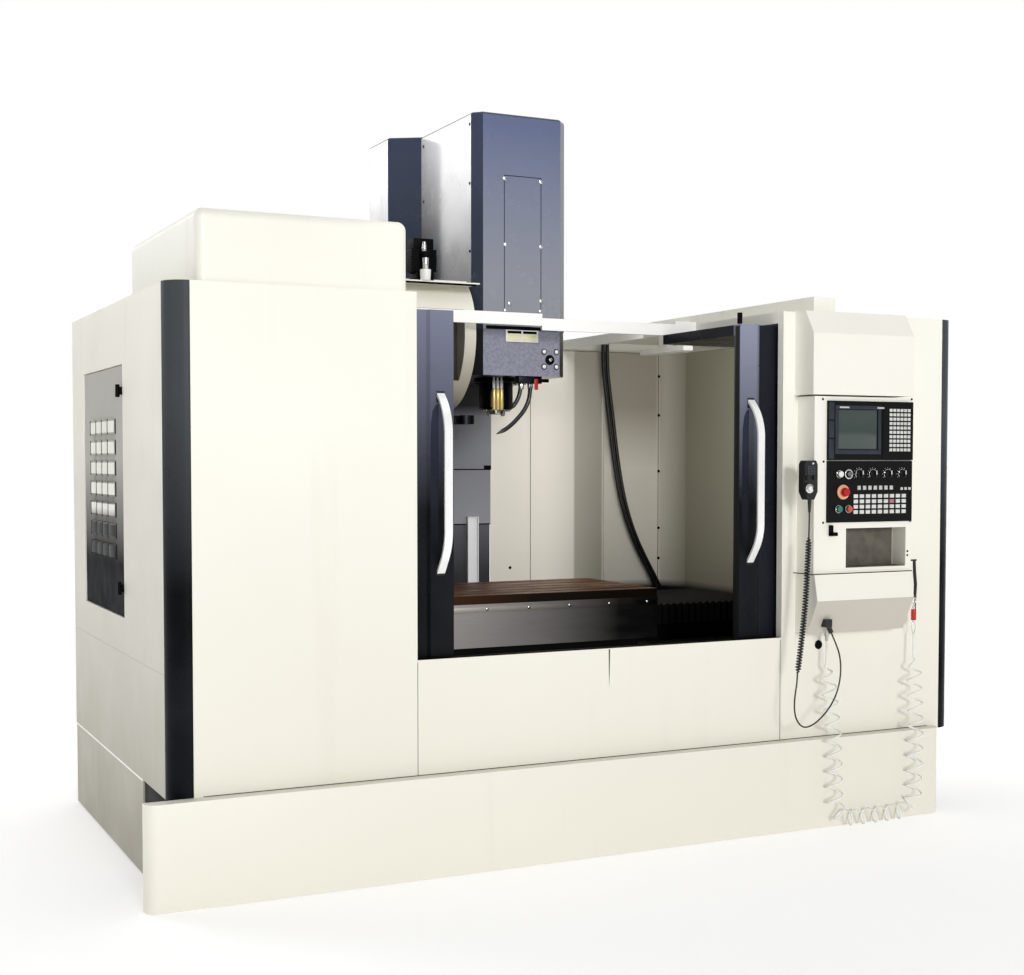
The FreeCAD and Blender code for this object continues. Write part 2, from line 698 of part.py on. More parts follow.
# ---------------------------------------------------------------- coolant tank
def coolant_tank():
    """Low open tank behind a skirt that runs along the whole front."""
    left = -ENCLOSURE_LEFT - SKIRT_LEFT_OVERHANG
    right = ENCLOSURE_RIGHT - SKIRT_RIGHT_INSET
    front = FRONT_Y - TANK_FRONT_STEP
    outer = rounded_front(left, right, front, front + TANK_FRONT_STEP, SKIRT_CORNER, SKIRT_GROUND_GAP, SKIRT_TOP)
    inner = rounded_front(left + SKIRT_WALL, right - SKIRT_WALL, front + SKIRT_WALL, front + TANK_FRONT_STEP + 10,
                          SKIRT_CORNER - SKIRT_WALL, SKIRT_GROUND_GAP - 10, SKIRT_TOP - SKIRT_WALL)
    skirt = outer.cut(inner)
    tank_x = (-ENCLOSURE_LEFT + TANK_SIDE_INSET, right - TANK_SIDE_INSET)
    tank_y = (front + SKIRT_WALL, front + SKIRT_WALL + TANK_DEPTH)
    tank = tray(tank_x, tank_y, (TANK_BOTTOM, TANK_HEIGHT), "+z", TANK_WALL)
    pump_x = tank_x[0] + PUMP_RADIUS + 60
    pump_y = tank_y[1] - PUMP_RADIUS - 40
    pump = rod((pump_x, pump_y, TANK_BOTTOM + TANK_WALL), (0, 0, 1), PUMP_RADIUS, PUMP_HEIGHT)
    pieces = [skirt, tank, pump]
    for x in (tank_x[0] + 60, 0.0, tank_x[1] - 60):
        for y in (tank_y[0] + 60, tank_y[1] - 60):
            pieces.append(rod((x, y, 0), (0, 0, 1), TANK_FOOT, TANK_BOTTOM + TANK_WALL))
    return fuse_all(pieces)


def rounded_front(left, right, front, back, radius, low, high):
    """A block with two upright front edges rounded."""
    shape = block((left, right), (front, back), (low, high))
    edges = [e for e in shape.Edges if abs(e.BoundBox.YMin - front) < 0.01 and e.BoundBox.YLength < 0.01
             and e.BoundBox.ZLength > 1 and e.BoundBox.XLength < 0.01]
    return shape.makeFillet(radius, edges)


# ---------------------------------------------------------------- outer panels
def left_front_panel():
    return tray((-ENCLOSURE_LEFT + TRIM_RADIUS + SEAM, -OPENING_LEFT - SEAM), (FRONT_Y, FRONT_Y + PANEL_DEPTH),
                (PANEL_BOTTOM, ENCLOSURE_HEIGHT), "+y")


def right_front_panel():
    return tray((OPENING_RIGHT + SEAM, ENCLOSURE_RIGHT - TRIM_RADIUS - SEAM), (FRONT_Y, FRONT_Y + PANEL_DEPTH),
                (PANEL_BOTTOM, ENCLOSURE_HEIGHT), "+y")


def apron_panel():
    """Front apron below the doors, with the track that carries both leaves behind it."""
    apron = tray((-OPENING_LEFT, OPENING_RIGHT), (FRONT_Y, FRONT_Y + PANEL_DEPTH),
                 (PANEL_BOTTOM, SILL_HEIGHT), "+y")
    top = LEAF_BOTTOM - FIT_GAP
    profile = [
        (FRONT_Y + PANEL_DEPTH, top - TRACK_HEIGHT),
        (LEAF_BACK + 10, top - TRACK_HEIGHT),
        (LEAF_BACK + 10, top - TRACK_HEIGHT + 12),
        (LEAF_BACK - 12, top - TRACK_HEIGHT + 12),
        (LEAF_BACK - 12, top),
        (LEAF_FRONT + 12, top),
        (LEAF_FRONT + 12, top - TRACK_HEIGHT + 12),
        (FRONT_Y + PANEL_DEPTH, top - TRACK_HEIGHT + 12),
    ]
    track = prism_x(profile, LEFT_LEAF_EDGE - LEAF_WIDTH - 20, RIGHT_LEAF_EDGE + LEAF_WIDTH + 20)
    return Part.makeCompound([apron, track])


def corner_trims():
    """Quarter-round uprights at the two front corners."""
    return Part.makeCompound([corner_trim(-1), corner_trim(1)])


def corner_trim(side):
    reach = ENCLOSURE_LEFT if side < 0 else ENCLOSURE_RIGHT
    height = ENCLOSURE_HEIGHT - PANEL_BOTTOM
    centre = V(side * (reach - TRIM_RADIUS), FRONT_Y + TRIM_RADIUS, PANEL_BOTTOM)
    start = 180 if side < 0 else 270
    outer = Part.makeCylinder(TRIM_RADIUS, height, centre, V(0, 0, 1), 90)
    inner = Part.makeCylinder(TRIM_RADIUS - TRIM_WALL, height - TRIM_WALL, centre, V(0, 0, 1), 90)
    return turned(outer.cut(inner), centre, (0, 0, 1), start)


def side_panel(side, y, z):
    reach = ENCLOSURE_LEFT if side < 0 else ENCLOSURE_RIGHT
    if side < 0:
        return tray((-reach, -reach + PANEL_DEPTH), y, z, "+x")
    return tray((reach - PANEL_DEPTH, reach), y, z, "-x")


def side_solids(side):
    """Front strip, main panel, lower band and base of one side."""
    front = FRONT_Y + TRIM_RADIUS + SEAM
    fold = front + SIDE_STRIP_DEPTH
    strip = side_panel(side, (front, fold - SEAM), (SIDE_BAND_TOP, ENCLOSURE_HEIGHT))
    main = side_panel(side, (fold, BACK_Y), (SIDE_BAND_TOP, ENCLOSURE_HEIGHT))
    band = side_panel(side, (front, BACK_Y), (PANEL_BOTTOM, SIDE_BAND_TOP - SEAM))
    base = side_panel(side, (FRONT_Y + BASE_PANEL_SETBACK, BACK_Y - 14), (BASE_PANEL_GAP, PANEL_BOTTOM - SEAM))
    return [strip, main, band, base]


VENT_FRONT = -360.0
VENT_DEPTH = 865.0
VENT_LOW = 996.0
VENT_HEIGHT = 1042.0
VENT_GAP = 3.0
VENT_RECESS = 5.0
VENT_SHEET = 6.0
PIVOT_RADIUS = 2.0
PIVOT_DEPTH = 3.0
LOUVRE_COLUMNS = 4
LOUVRE_ROWS = 7
LOUVRE_FIRST_Y = -186.0
LOUVRE_FIRST_Z = 1228.0
LOUVRE_PITCH_Y = 128.0
LOUVRE_PITCH_Z = 88.0
LOUVRE_LENGTH = 98.0
LOUVRE_HEIGHT = 62.0
LOUVRE_RISE = 14.0
LOUVRE_WALL = 2.0
CABINET_DEPTH = 400.0
CABINET_WALL = 4.0
DRIVE_COUNT = 6
DRIVE_WIDTH = 95.0
DRIVE_PITCH = 125.0
DRIVE_DEPTH = 200.0
DRIVE_LOW = 504.0
DRIVE_HEIGHT = 380.0
DRIVE_INSET = 70.0
TRANSFORMER_DEPTH = 220.0
TRANSFORMER_WIDTH = 280.0
TRANSFORMER_LOW = 44.0
TRANSFORMER_HEIGHT = 220.0
PIVOT_X = -ENCLOSURE_LEFT + VENT_RECESS + VENT_SHEET / 2
PIVOT_Y = VENT_FRONT + VENT_DEPTH - VENT_GAP - VENT_SHEET / 2


def left_side_panels():
    solids = side_solids(-1)
    hole = block((-ENCLOSURE_LEFT - 10, -ENCLOSURE_LEFT + PANEL_DEPTH + 10),
                 (VENT_FRONT, VENT_FRONT + VENT_DEPTH), (VENT_LOW, VENT_LOW + VENT_HEIGHT))
    solids[1] = solids[1].cut(hole)
    return Part.makeCompound(solids)


def louvre(face, y, length, z, height, rise):
    """A hood that swells towards the rear, where it is open."""
    arc = Part.Arc(V(face, y, z), V(face - rise * 0.8, y + length * 0.45, z), V(face - rise, y + length, z))
    corner = V(face, y + length, z)
    edges = [arc.toShape(), Part.makeLine(V(face - rise, y + length, z), corner),
             Part.makeLine(corner, V(face, y, z))]
    return Part.Face(Part.Wire(edges)).extrude(V(0, 0, height))


def pivots(radius, reach):
    """The door's pins above and below its rear edge, or the bores for them."""
    low, high = VENT_LOW + VENT_GAP, VENT_LOW + VENT_HEIGHT - VENT_GAP
    return [rod((PIVOT_X, PIVOT_Y, low + 1), (0, 0, -1), radius, reach + 1),
            rod((PIVOT_X, PIVOT_Y, high - 1), (0, 0, 1), radius, reach + 1)]


def vent_door():
    """Hinged door of the electrical cabinet with pressed louvres."""
    face = -ENCLOSURE_LEFT + VENT_RECESS
    plate = block((face, face + VENT_SHEET),
                  (VENT_FRONT + VENT_GAP, VENT_FRONT + VENT_DEPTH - VENT_GAP),
                  (VENT_LOW + VENT_GAP, VENT_LOW + VENT_HEIGHT - VENT_GAP))
    hoods = []
    slots = []
    for column_index in range(LOUVRE_COLUMNS):
        y = LOUVRE_FIRST_Y + column_index * LOUVRE_PITCH_Y
        for row in range(LOUVRE_ROWS):
            z = LOUVRE_FIRST_Z + row * LOUVRE_PITCH_Z
            hoods.append(louvre(face, y, LOUVRE_LENGTH, z, LOUVRE_HEIGHT, LOUVRE_RISE))
            inner = y + 6 * LOUVRE_WALL
            width = LOUVRE_LENGTH - 6 * LOUVRE_WALL + 1
            slots.append(louvre(face + 0.5, inner, width, z + LOUVRE_WALL, LOUVRE_HEIGHT - 2 * LOUVRE_WALL,
                                LOUVRE_RISE - LOUVRE_WALL + 0.5))
            slots.append(block((face, face + VENT_SHEET + 1), (inner, inner + width - 1),
                               (z + LOUVRE_WALL, z + LOUVRE_HEIGHT - LOUVRE_WALL)))
    door = fuse_all([plate] + hoods + pivots(PIVOT_RADIUS, VENT_GAP + PIVOT_DEPTH))
    return cut_all(door, slots)


def electrical_cabinet():
    """Steel box behind the louvred door, with its drive modules, transformer and the door's pivot bores."""
    x0 = -ENCLOSURE_LEFT + SHEET
    box = tray((x0, x0 + CABINET_DEPTH), (VENT_FRONT - CABINET_WALL, VENT_FRONT + VENT_DEPTH + CABINET_WALL),
               (VENT_LOW - CABINET_WALL, VENT_LOW + VENT_HEIGHT + CABINET_WALL), "-x", CABINET_WALL)
    box = cut_all(box, pivots(PIVOT_RADIUS + FIT_GAP, VENT_GAP + CABINET_WALL + 1))
    back = x0 + CABINET_DEPTH - CABINET_WALL
    modules = []
    for i in range(DRIVE_COUNT):
        y = VENT_FRONT + DRIVE_INSET + i * DRIVE_PITCH
        modules.append(block((back - DRIVE_DEPTH, back), (y, y + DRIVE_WIDTH),
                             (VENT_LOW + DRIVE_LOW, VENT_LOW + DRIVE_LOW + DRIVE_HEIGHT)))
    low = VENT_LOW + TRANSFORMER_LOW
    transformer = block((back - TRANSFORMER_DEPTH, back),
                        (VENT_FRONT + DRIVE_INSET, VENT_FRONT + DRIVE_INSET + TRANSFORMER_WIDTH),
                        (low, low + TRANSFORMER_HEIGHT))
    return fuse_all([box, transformer] + modules)


def right_side_panels():
    return Part.makeCompound(side_solids(1))


def rear_panels():
    """Two panels that close the back on each side of the column."""
    solids = []
    for x in ((-ENCLOSURE_LEFT + PANEL_DEPTH + SEAM, -REAR_GAP_HALF),
              (REAR_GAP_HALF, ENCLOSURE_RIGHT - PANEL_DEPTH - SEAM)):
        solids.append(tray(x, (BACK_Y - PANEL_DEPTH, BACK_Y), (PANEL_BOTTOM, ENCLOSURE_HEIGHT), "-y"))
    reach = BED_HALF_WIDTH + REAR_CLEARANCE
    notch = block((-reach, reach), (BACK_Y - PANEL_DEPTH - 1, BACK_Y + 1), (0, COLUMN_PAD_TOP + REAR_CLEARANCE))
    return Part.makeCompound([solid.cut(notch) for solid in solids])


def roof_panels():
    """Fixed roofs over both wings, with the cable duct on the right one."""
    low = ENCLOSURE_HEIGHT - ROOF_DROP
    y = (FRONT_Y + PANEL_DEPTH + SEAM, BACK_Y - PANEL_DEPTH - SEAM)
    left = tray((-ENCLOSURE_LEFT + PANEL_DEPTH + SEAM, -OPENING_LEFT), y, (low, ENCLOSURE_HEIGHT), "-z")
    left = left.cut(trim_corner(-1))
    x0, x1 = OPENING_RIGHT, ENCLOSURE_RIGHT - PANEL_DEPTH - SEAM
    tail = x0 - ROOF_TAIL_WIDTH
    plan = [(x0, y[0]), (x1, y[0]), (x1, y[1]), (tail, y[1]), (tail, ROOF_TAIL_FRONT), (x0, ROOF_TAIL_FRONT)]
    right = prism_z(plan, low, ENCLOSURE_HEIGHT)
    right = right.cut(prism_z(inset(plan, SHEET), low - 10, ENCLOSURE_HEIGHT - SHEET)).cut(trim_corner(1))
    duct_x = OPENING_RIGHT + DUCT_OFFSET
    duct = tray((duct_x, duct_x + DUCT_WIDTH), (FRONT_Y, FRONT_Y + DUCT_LENGTH),
                (ENCLOSURE_HEIGHT, ENCLOSURE_HEIGHT + DUCT_HEIGHT), "-z")
    return Part.makeCompound([left, right, duct])


def trim_corner(side):
    """The square at a front corner that the upright's cap covers."""
    reach = ENCLOSURE_LEFT if side < 0 else ENCLOSURE_RIGHT
    inner = side * (reach - TRIM_RADIUS)
    return block((inner, side * reach), (FRONT_Y, FRONT_Y + TRIM_RADIUS),
                 (ENCLOSURE_HEIGHT - ROOF_DROP - 1, ENCLOSURE_HEIGHT + 1))


def roof_hood():
    """Raised cover on the left roof with rounded edges."""
    x = (-ENCLOSURE_LEFT + HOOD_LEFT_INSET, -OPENING_LEFT - HOOD_RIGHT_INSET)
    y = (FRONT_Y + HOOD_SETBACK, FRONT_Y + HOOD_SETBACK + HOOD_DEPTH)
    z = (ENCLOSURE_HEIGHT, ENCLOSURE_HEIGHT + HOOD_HEIGHT)
    outer = rounded_cap(block(x, y, z), z[0], HOOD_RADIUS)
    inner = block((x[0] + SHEET, x[1] - SHEET), (y[0] + SHEET, y[1] - SHEET), (z[0] - 1, z[1] - SHEET))
    return outer.cut(rounded_cap(inner, z[0] - 1, HOOD_RADIUS - SHEET))


def rounded_cap(shape, low, radius):
    """Round every edge of a block apart from those around its underside."""
    edges = [e for e in shape.Edges if e.BoundBox.ZMax > low + 1]
    return shape.makeFillet(radius, edges)


def roof_rail():
    """Bar across the opening, stepped down where the right leaf's bar begins, with its end plate."""
    y = (RAIL_FRONT, RAIL_FRONT + RAIL_THICKNESS)
    left = block((-OPENING_LEFT, RAIL_STEP_X), y, (LEAF_TOP + RAIL_STEP, LEAF_TOP + RAIL_STEP + RAIL_HEIGHT))
    right = block((RAIL_STEP_X, OPENING_RIGHT - ROOF_TAIL_WIDTH), y, (LEAF_TOP, LEAF_TOP + RAIL_HEIGHT))
    end = block((OPENING_RIGHT - ROOF_TAIL_WIDTH, OPENING_RIGHT), y, (LEAF_TOP, LEAF_TOP + RAIL_END_HEIGHT))
    return fuse_all([left, right, end])


# ---------------------------------------------------------------- doors
def door_leaf(side):
    """Sliding leaf: raised stile, window, glass, and a roof that runs back to the rail."""
    edge = LEFT_LEAF_EDGE if side < 0 else RIGHT_LEAF_EDGE
    far = edge + side * LEAF_WIDTH

    def across(a, b):
        return (min(edge + side * a, edge + side * b), max(edge + side * a, edge + side * b))

    stile = block(across(0, STILE_WIDTH), (LEAF_FRONT, LEAF_BACK), (LEAF_BOTTOM, LEAF_TOP))
    slope = STILE_STEP
    ramp = prism_z(ordered([(edge + side * STILE_WIDTH, LEAF_FRONT), (edge + side * (STILE_WIDTH + slope),
                   LEAF_FRONT + STILE_STEP), (edge + side * STILE_WIDTH, LEAF_FRONT + STILE_STEP)]),
                   LEAF_BOTTOM, LEAF_TOP)
    sheet = block(across(STILE_WIDTH, LEAF_WIDTH), (LEAF_FRONT + STILE_STEP, LEAF_BACK), (LEAF_BOTTOM, LEAF_TOP))
    roof_x = (min(edge, far), max(edge, far))
    roof = tray(roof_x, (LEAF_BACK, LEAF_BACK + DOOR_ROOF_DEPTH), (LEAF_TOP - DOOR_ROOF_DROP, LEAF_TOP), "+z")
    axle_x = edge + side * 2 * ROLLER_RADIUS
    roller_z = LEAF_TOP - 2 - ROLLER_RADIUS
    roller = rod((axle_x, LEAF_BACK + DOOR_ROOF_DEPTH, roller_z), (0, 1, 0), ROLLER_RADIUS, ROLLER_WIDTH)
    leaf = fuse_all([stile, ramp, sheet, roof, roller])
    window_x = across(WINDOW_STILE, LEAF_WIDTH - WINDOW_BACK_STILE)
    window_z = (LEAF_BOTTOM + WINDOW_LOW, LEAF_TOP - WINDOW_HIGH)
    glass_y = LEAF_FRONT + STILE_STEP + 8
    seat = GLASS_SEAT + FIT_GAP
    window = block(window_x, (LEAF_FRONT - 1, LEAF_BACK + 1), window_z)
    groove = block((window_x[0] - seat, window_x[1] + seat), (glass_y - FIT_GAP, glass_y + GLASS + FIT_GAP),
                   (window_z[0] - seat, window_z[1] + seat))
    glass = block((window_x[0] - GLASS_SEAT, window_x[1] + GLASS_SEAT), (glass_y, glass_y + GLASS),
                  (window_z[0] - GLASS_SEAT, window_z[1] + GLASS_SEAT))
    return Part.makeCompound([cut_all(leaf, [window, groove]), glass])


def ordered(points):
    """The same outline, turned counter-clockwise."""
    area = 0.0
    for i in range(len(points)):
        a, b = points[i - 1], points[i]
        area += a[0] * b[1] - b[0] * a[1]
    return points if area > 0 else points[::-1]


def left_door():
    return door_leaf(-1)


def right_door():
    return door_leaf(1)


def bow_handle(x):
    """Flat bar bent outwards, with its two ends on the stile."""
    y = LEAF_FRONT - HANDLE_REACH + HANDLE_THICKNESS / 2
    corners = [(x, LEAF_FRONT, HANDLE_TOP), (x, y, HANDLE_KNEE_TOP), (x, y, HANDLE_KNEE_LOW),
               (x, LEAF_FRONT, HANDLE_LOW)]
    wire = bent_wire(corners, HANDLE_BEND)
    start = V(*corners[0])
    heading = V(*corners[1]) - start
    heading.normalize()
    across = V(1, 0, 0)
    normal = heading.cross(across)
    half_w = across * (HANDLE_WIDTH / 2)
    half_t = normal * (HANDLE_THICKNESS / 2)
    section = Part.makePolygon([start - half_w - half_t, start + half_w - half_t, start + half_w + half_t,
                                start - half_w + half_t, start - half_w - half_t])
    bar = wire.makePipeShell([section], True, True)
    behind = block((x - HANDLE_WIDTH, x + HANDLE_WIDTH), (LEAF_FRONT, LEAF_FRONT + 60),
                   (HANDLE_LOW - 60, HANDLE_TOP + 60))
    return bar.cut(behind)


def bent_wire(corners, radius):
    """Straight runs joined by tangent arcs of one radius."""
    points = [V(*p) for p in corners]
    edges = []
    last = points[0]
    for i in range(1, len(points) - 1):
        to_before = points[i - 1] - points[i]
        to_after = points[i + 1] - points[i]
        half_turn = (math.pi - to_before.getAngle(to_after)) / 2.0
        reach = radius * math.tan(half_turn)
        to_before.normalize()
        to_after.normalize()
        start = points[i] + to_before * reach
        end = points[i] + to_after * reach
        inward = to_before + to_after
        inward.normalize()
        middle = points[i] + inward * (radius / math.cos(half_turn) - radius)
        edges.append(Part.LineSegment(last, start).toShape())
        edges.append(Part.Arc(start, middle, end).toShape())
        last = end
    edges.append(Part.LineSegment(last, points[-1]).toShape())
    return Part.Wire(edges)


def left_handle():
    return bow_handle(LEFT_LEAF_EDGE - HANDLE_FROM_EDGE)


def right_handle():
    return bow_handle(RIGHT_LEAF_EDGE + HANDLE_FROM_EDGE)


# ---------------------------------------------------------------- chamber
def lining_walls(side, wall):
    """Back, corner and side sheets of one half of the chamber, mitred where they meet."""
    inner = Z_COVER_HALF_WIDTH + 3
    corner = wall - CORNER_RUN
    back_y, corner_y = WALL_Y, WALL_Y - CORNER_DROP
    fold_end = FOLD_X + FOLD_WIDTH
    fold = [(FOLD_X, back_y), (FOLD_X, back_y - FOLD_RISE), (fold_end, back_y - FOLD_RISE), (fold_end, back_y)]
    back = [(inner, back_y)] + (fold if side > 0 else [])
    back += [(corner, back_y), (corner + MITRE, back_y + SHEET), (inner, back_y + SHEET)]
    bend = [(corner, back_y), (wall, corner_y), (wall + SHEET, corner_y + MITRE), (corner + MITRE, back_y + SHEET)]
    flank = [(wall, corner_y), (wall, CHAMBER_FRONT), (wall + SHEET, CHAMBER_FRONT), (wall + SHEET, corner_y + MITRE)]
    sheets = [prism_z(ordered([(side * x, y) for x, y in plan]), LINING_BOTTOM, LINING_TOP)
              for plan in (back, bend, flank)]
    under_roof = block((side * (wall - 10), side * (wall + 10)), (CHAMBER_FRONT - 10, RAIL_FRONT),
                       (LEAF_TOP - DOOR_ROOF_DROP - ROOF_CLEARANCE, LINING_TOP + 1))
    return sheets[:2] + [sheets[2].cut(under_roof)]


def chamber_lining():
    """Sheets that line the work chamber: back, corners, sides, front and sloped floor."""
    walls = lining_walls(1, RIGHT_WALL_X) + lining_walls(-1, -LEFT_WALL_X)
    floor = []
    for side, wall_x in ((1, RIGHT_WALL_X), (-1, -LEFT_WALL_X)):
        inner = BED_HALF_WIDTH + 2
        profile = [
            (side * inner, FLOOR_EDGE - 60), (side * (wall_x + SHEET), LINING_BOTTOM - SHEET),
            (side * (wall_x + SHEET), LINING_BOTTOM), (side * inner, FLOOR_EDGE - 60 + SHEET),
        ]
        floor.append(prism_y(profile, CHAMBER_FRONT, WALL_Y + SHEET))
    front = block((LEFT_WALL_X - SHEET, RIGHT_WALL_X + SHEET), (CHAMBER_FRONT - SHEET, CHAMBER_FRONT),
                  (FLOOR_EDGE - 160, LEAF_BOTTOM - TRACK_HEIGHT - 1))
    return Part.makeCompound(walls + [front] + floor + hose_fittings())


def guide_channel():
    """Bright channel in front of the way covers, on a foot that reaches the lower cover."""
    back = Z_COVER_FRONT - CHANNEL_GAP
    x = (CHANNEL_X - CHANNEL_WIDTH / 2, CHANNEL_X + CHANNEL_WIDTH / 2)
    body = block(x, (back - CHANNEL_DEPTH, back), (CHANNEL_LOW, CHANNEL_LOW + CHANNEL_HEIGHT))
    groove = block((x[0] + CHANNEL_WALL, x[1] - CHANNEL_WALL), (back - CHANNEL_DEPTH - 1, back - CHANNEL_WALL),
                   (CHANNEL_LOW - 1, CHANNEL_LOW + CHANNEL_HEIGHT - CHANNEL_WALL))
    foot = block(x, (back, Z_COVER_FRONT + 2 * Z_COVER_STEP), (CHANNEL_LOW, CHANNEL_LOW + CHANNEL_FOOT))
    return body.cut(groove).fuse(foot).removeSplitter()


def z_cover(half_width, front, low, high):
    """A channel-shaped sheet, open behind and at both ends, so that the next one nests in it."""
    outer = block((-half_width, half_width), (front, Z_COVER_BACK), (low, high))
    inner = block((SHEET - half_width, half_width - SHEET), (front + SHEET, Z_COVER_BACK + 1), (low - 1, high + 1))
    return outer.cut(inner)


def z_cover_upper():
    return z_cover(Z_COVER_HALF_WIDTH, Z_COVER_FRONT, Z_UPPER_BOTTOM, HEAD_BOTTOM)


def z_cover_middle():
    return z_cover(Z_COVER_HALF_WIDTH - Z_COVER_STEP, Z_COVER_FRONT + Z_COVER_STEP, Z_MIDDLE_BOTTOM, Z_MIDDLE_TOP)


def z_cover_lower():
    step = 2 * Z_COVER_STEP
    return z_cover(Z_COVER_HALF_WIDTH - step, Z_COVER_FRONT + step, BED_TOP, Z_LOWER_TOP)


# ---------------------------------------------------------------- saddle and table
def guide_block(x, y, z, rail_axis, centre):
    """A runner block with the groove for its rail."""
    half = RAIL_SECTION / 2 + BLOCK_GAP
    body = block(x, y, z)
    if rail_axis == "y":
        groove = block((centre - half, centre + half), (y[0] - 1, y[1] + 1), (z[0] - 1, BED_TOP + RAIL_RISE + BLOCK_GAP))
    elif rail_axis == "x":
        groove = block((x[0] - 1, x[1] + 1), (centre - half, centre + half),
                       (z[0] - 1, SADDLE_TOP + RAIL_RISE + BLOCK_GAP))
    else:
        groove = block((centre - half, centre + half), (COLUMN_FRONT - RAIL_RISE - BLOCK_GAP, y[1] + 1),
                       (z[0] - 1, z[1] + 1))
    return body.cut(groove)


def saddle():
    """Cross slide: a deep core over the bed, long wings with the X rails, and end plates."""
    low = SADDLE_TOP - SADDLE_CORE_HEIGHT
    core = block((-SADDLE_CORE_HALF, SADDLE_CORE_HALF), (-SADDLE_HALF_DEPTH, SADDLE_HALF_DEPTH), (low, SADDLE_TOP))
    wing = block((-SADDLE_HALF_LENGTH, SADDLE_HALF_LENGTH), (-SADDLE_WING_HALF_DEPTH, SADDLE_WING_HALF_DEPTH),
                 (SADDLE_TOP - SADDLE_WING_HEIGHT, SADDLE_TOP))
    pieces = [core, wing]
    for side in (-1, 1):
        end = side * SADDLE_HALF_LENGTH
        pieces.append(block((end, end + side * SADDLE_END_PLATE), (-BELLOWS_HALF_DEPTH, BELLOWS_HALF_DEPTH),
                            (SADDLE_TOP - SADDLE_WING_HEIGHT, BELLOWS_TOP)))
        centre = side * Y_RAIL_SPACING
        for y in (-SADDLE_HALF_DEPTH + 20, SADDLE_HALF_DEPTH - 20 - BLOCK_LENGTH):
            pieces.append(guide_block((centre - BLOCK_HALF_WIDTH, centre + BLOCK_HALF_WIDTH), (y, y + BLOCK_LENGTH),
                                      (BED_TOP + 12, low), "y", centre))
        rail_y = side * X_RAIL_SPACING
        pieces.append(block((-SADDLE_HALF_LENGTH + 10, SADDLE_HALF_LENGTH - 10),
                            (rail_y - RAIL_SECTION / 2, rail_y + RAIL_SECTION / 2),
                            (SADDLE_TOP, SADDLE_TOP + RAIL_RISE)))
    nut_low = BED_TOP - 30 - SCREW_RADIUS - 22
    nut = block((-52, 52), (-70, 70), (nut_low, low))
    pieces.append(nut)
    body = fuse_all(pieces)
    bore = rod((0, -80, BED_TOP - 30), (0, 1, 0), SCREW_RADIUS + FIT_GAP, 160)
    return body.cut(bore)


def table():
    """Work table with five T-slots and its runner blocks."""
    slab = block((-TABLE_HALF_LENGTH, TABLE_HALF_LENGTH), (-TABLE_HALF_DEPTH, TABLE_HALF_DEPTH),
                 (TABLE_UNDERSIDE, TABLE_TOP))
    block_top = SADDLE_TOP + RAIL_RISE + BLOCK_GAP + 3
    body = block((-TABLE_BODY_HALF_LENGTH, TABLE_BODY_HALF_LENGTH), (-TABLE_BODY_HALF_DEPTH, TABLE_BODY_HALF_DEPTH),
                 (block_top, TABLE_UNDERSIDE))
    pieces = [slab, body]
    for side in (-1, 1):
        centre = side * X_RAIL_SPACING
        for x in (-TABLE_BODY_HALF_LENGTH + 15, TABLE_BODY_HALF_LENGTH - 15 - BLOCK_LENGTH):
            pieces.append(guide_block((x, x + BLOCK_LENGTH), (centre - BLOCK_HALF_WIDTH, centre + BLOCK_HALF_WIDTH),
                                      (SADDLE_TOP + 10, block_top), "x", centre))
    slots = []
    for i in range(SLOT_COUNT):
        y = (i - (SLOT_COUNT - 1) / 2.0) * SLOT_PITCH
        neck_low = TABLE_TOP - SLOT_NECK_DEPTH
        foot_low = neck_low - SLOT_FOOT_DEPTH
        profile = [
            (y - SLOT_NECK / 2, TABLE_TOP + 1), (y - SLOT_NECK / 2, neck_low), (y - SLOT_FOOT / 2, neck_low),
            (y - SLOT_FOOT / 2, foot_low), (y + SLOT_FOOT / 2, foot_low), (y + SLOT_FOOT / 2, neck_low),
            (y + SLOT_NECK / 2, neck_low), (y + SLOT_NECK / 2, TABLE_TOP + 1),
        ]
        slots.append(prism_x(profile, -TABLE_HALF_LENGTH - 1, TABLE_HALF_LENGTH + 1))
    return cut_all(fuse_all(pieces), slots)


def table_guard():
    """Bright strip on the table's front edge with the sheet guard that hangs from it."""
    front = -TABLE_HALF_DEPTH - GUARD_PROUD
    top = TABLE_UNDERSIDE + STRIP_HEIGHT - 8
    profile = [
        (-TABLE_HALF_DEPTH, top), (front - 3, top), (front - 3, top - STRIP_HEIGHT), (front, top - STRIP_HEIGHT),
        (front, GUARD_LOW), (-TABLE_HALF_DEPTH, GUARD_LOW),
    ]
    return prism_x(ordered(profile), -TABLE_HALF_LENGTH, TABLE_HALF_LENGTH)


def bellows_x(x0, x1):
    """Folded way cover along X: a zigzag roof and sides over the rails."""
    step = (x1 - x0) / (2.0 * BELLOWS_FOLDS)
    roof = []
    for i in range(2 * BELLOWS_FOLDS + 1):
        roof.append((x0 + i * step, BELLOWS_TOP - (BELLOWS_FOLD if i % 2 else 0)))
    profile = [(x0, BELLOWS_BOTTOM)] + roof + [(x1, BELLOWS_BOTTOM)]
    outer = prism_y(profile, -BELLOWS_HALF_DEPTH, BELLOWS_HALF_DEPTH)
    hollow = block((x0 - 1, x1 + 1), (-BELLOWS_HALF_DEPTH + BELLOWS_WALL, BELLOWS_HALF_DEPTH - BELLOWS_WALL),
                   (BELLOWS_BOTTOM - 1, BELLOWS_TOP - BELLOWS_FOLD - BELLOWS_WALL))
    return outer.cut(hollow)


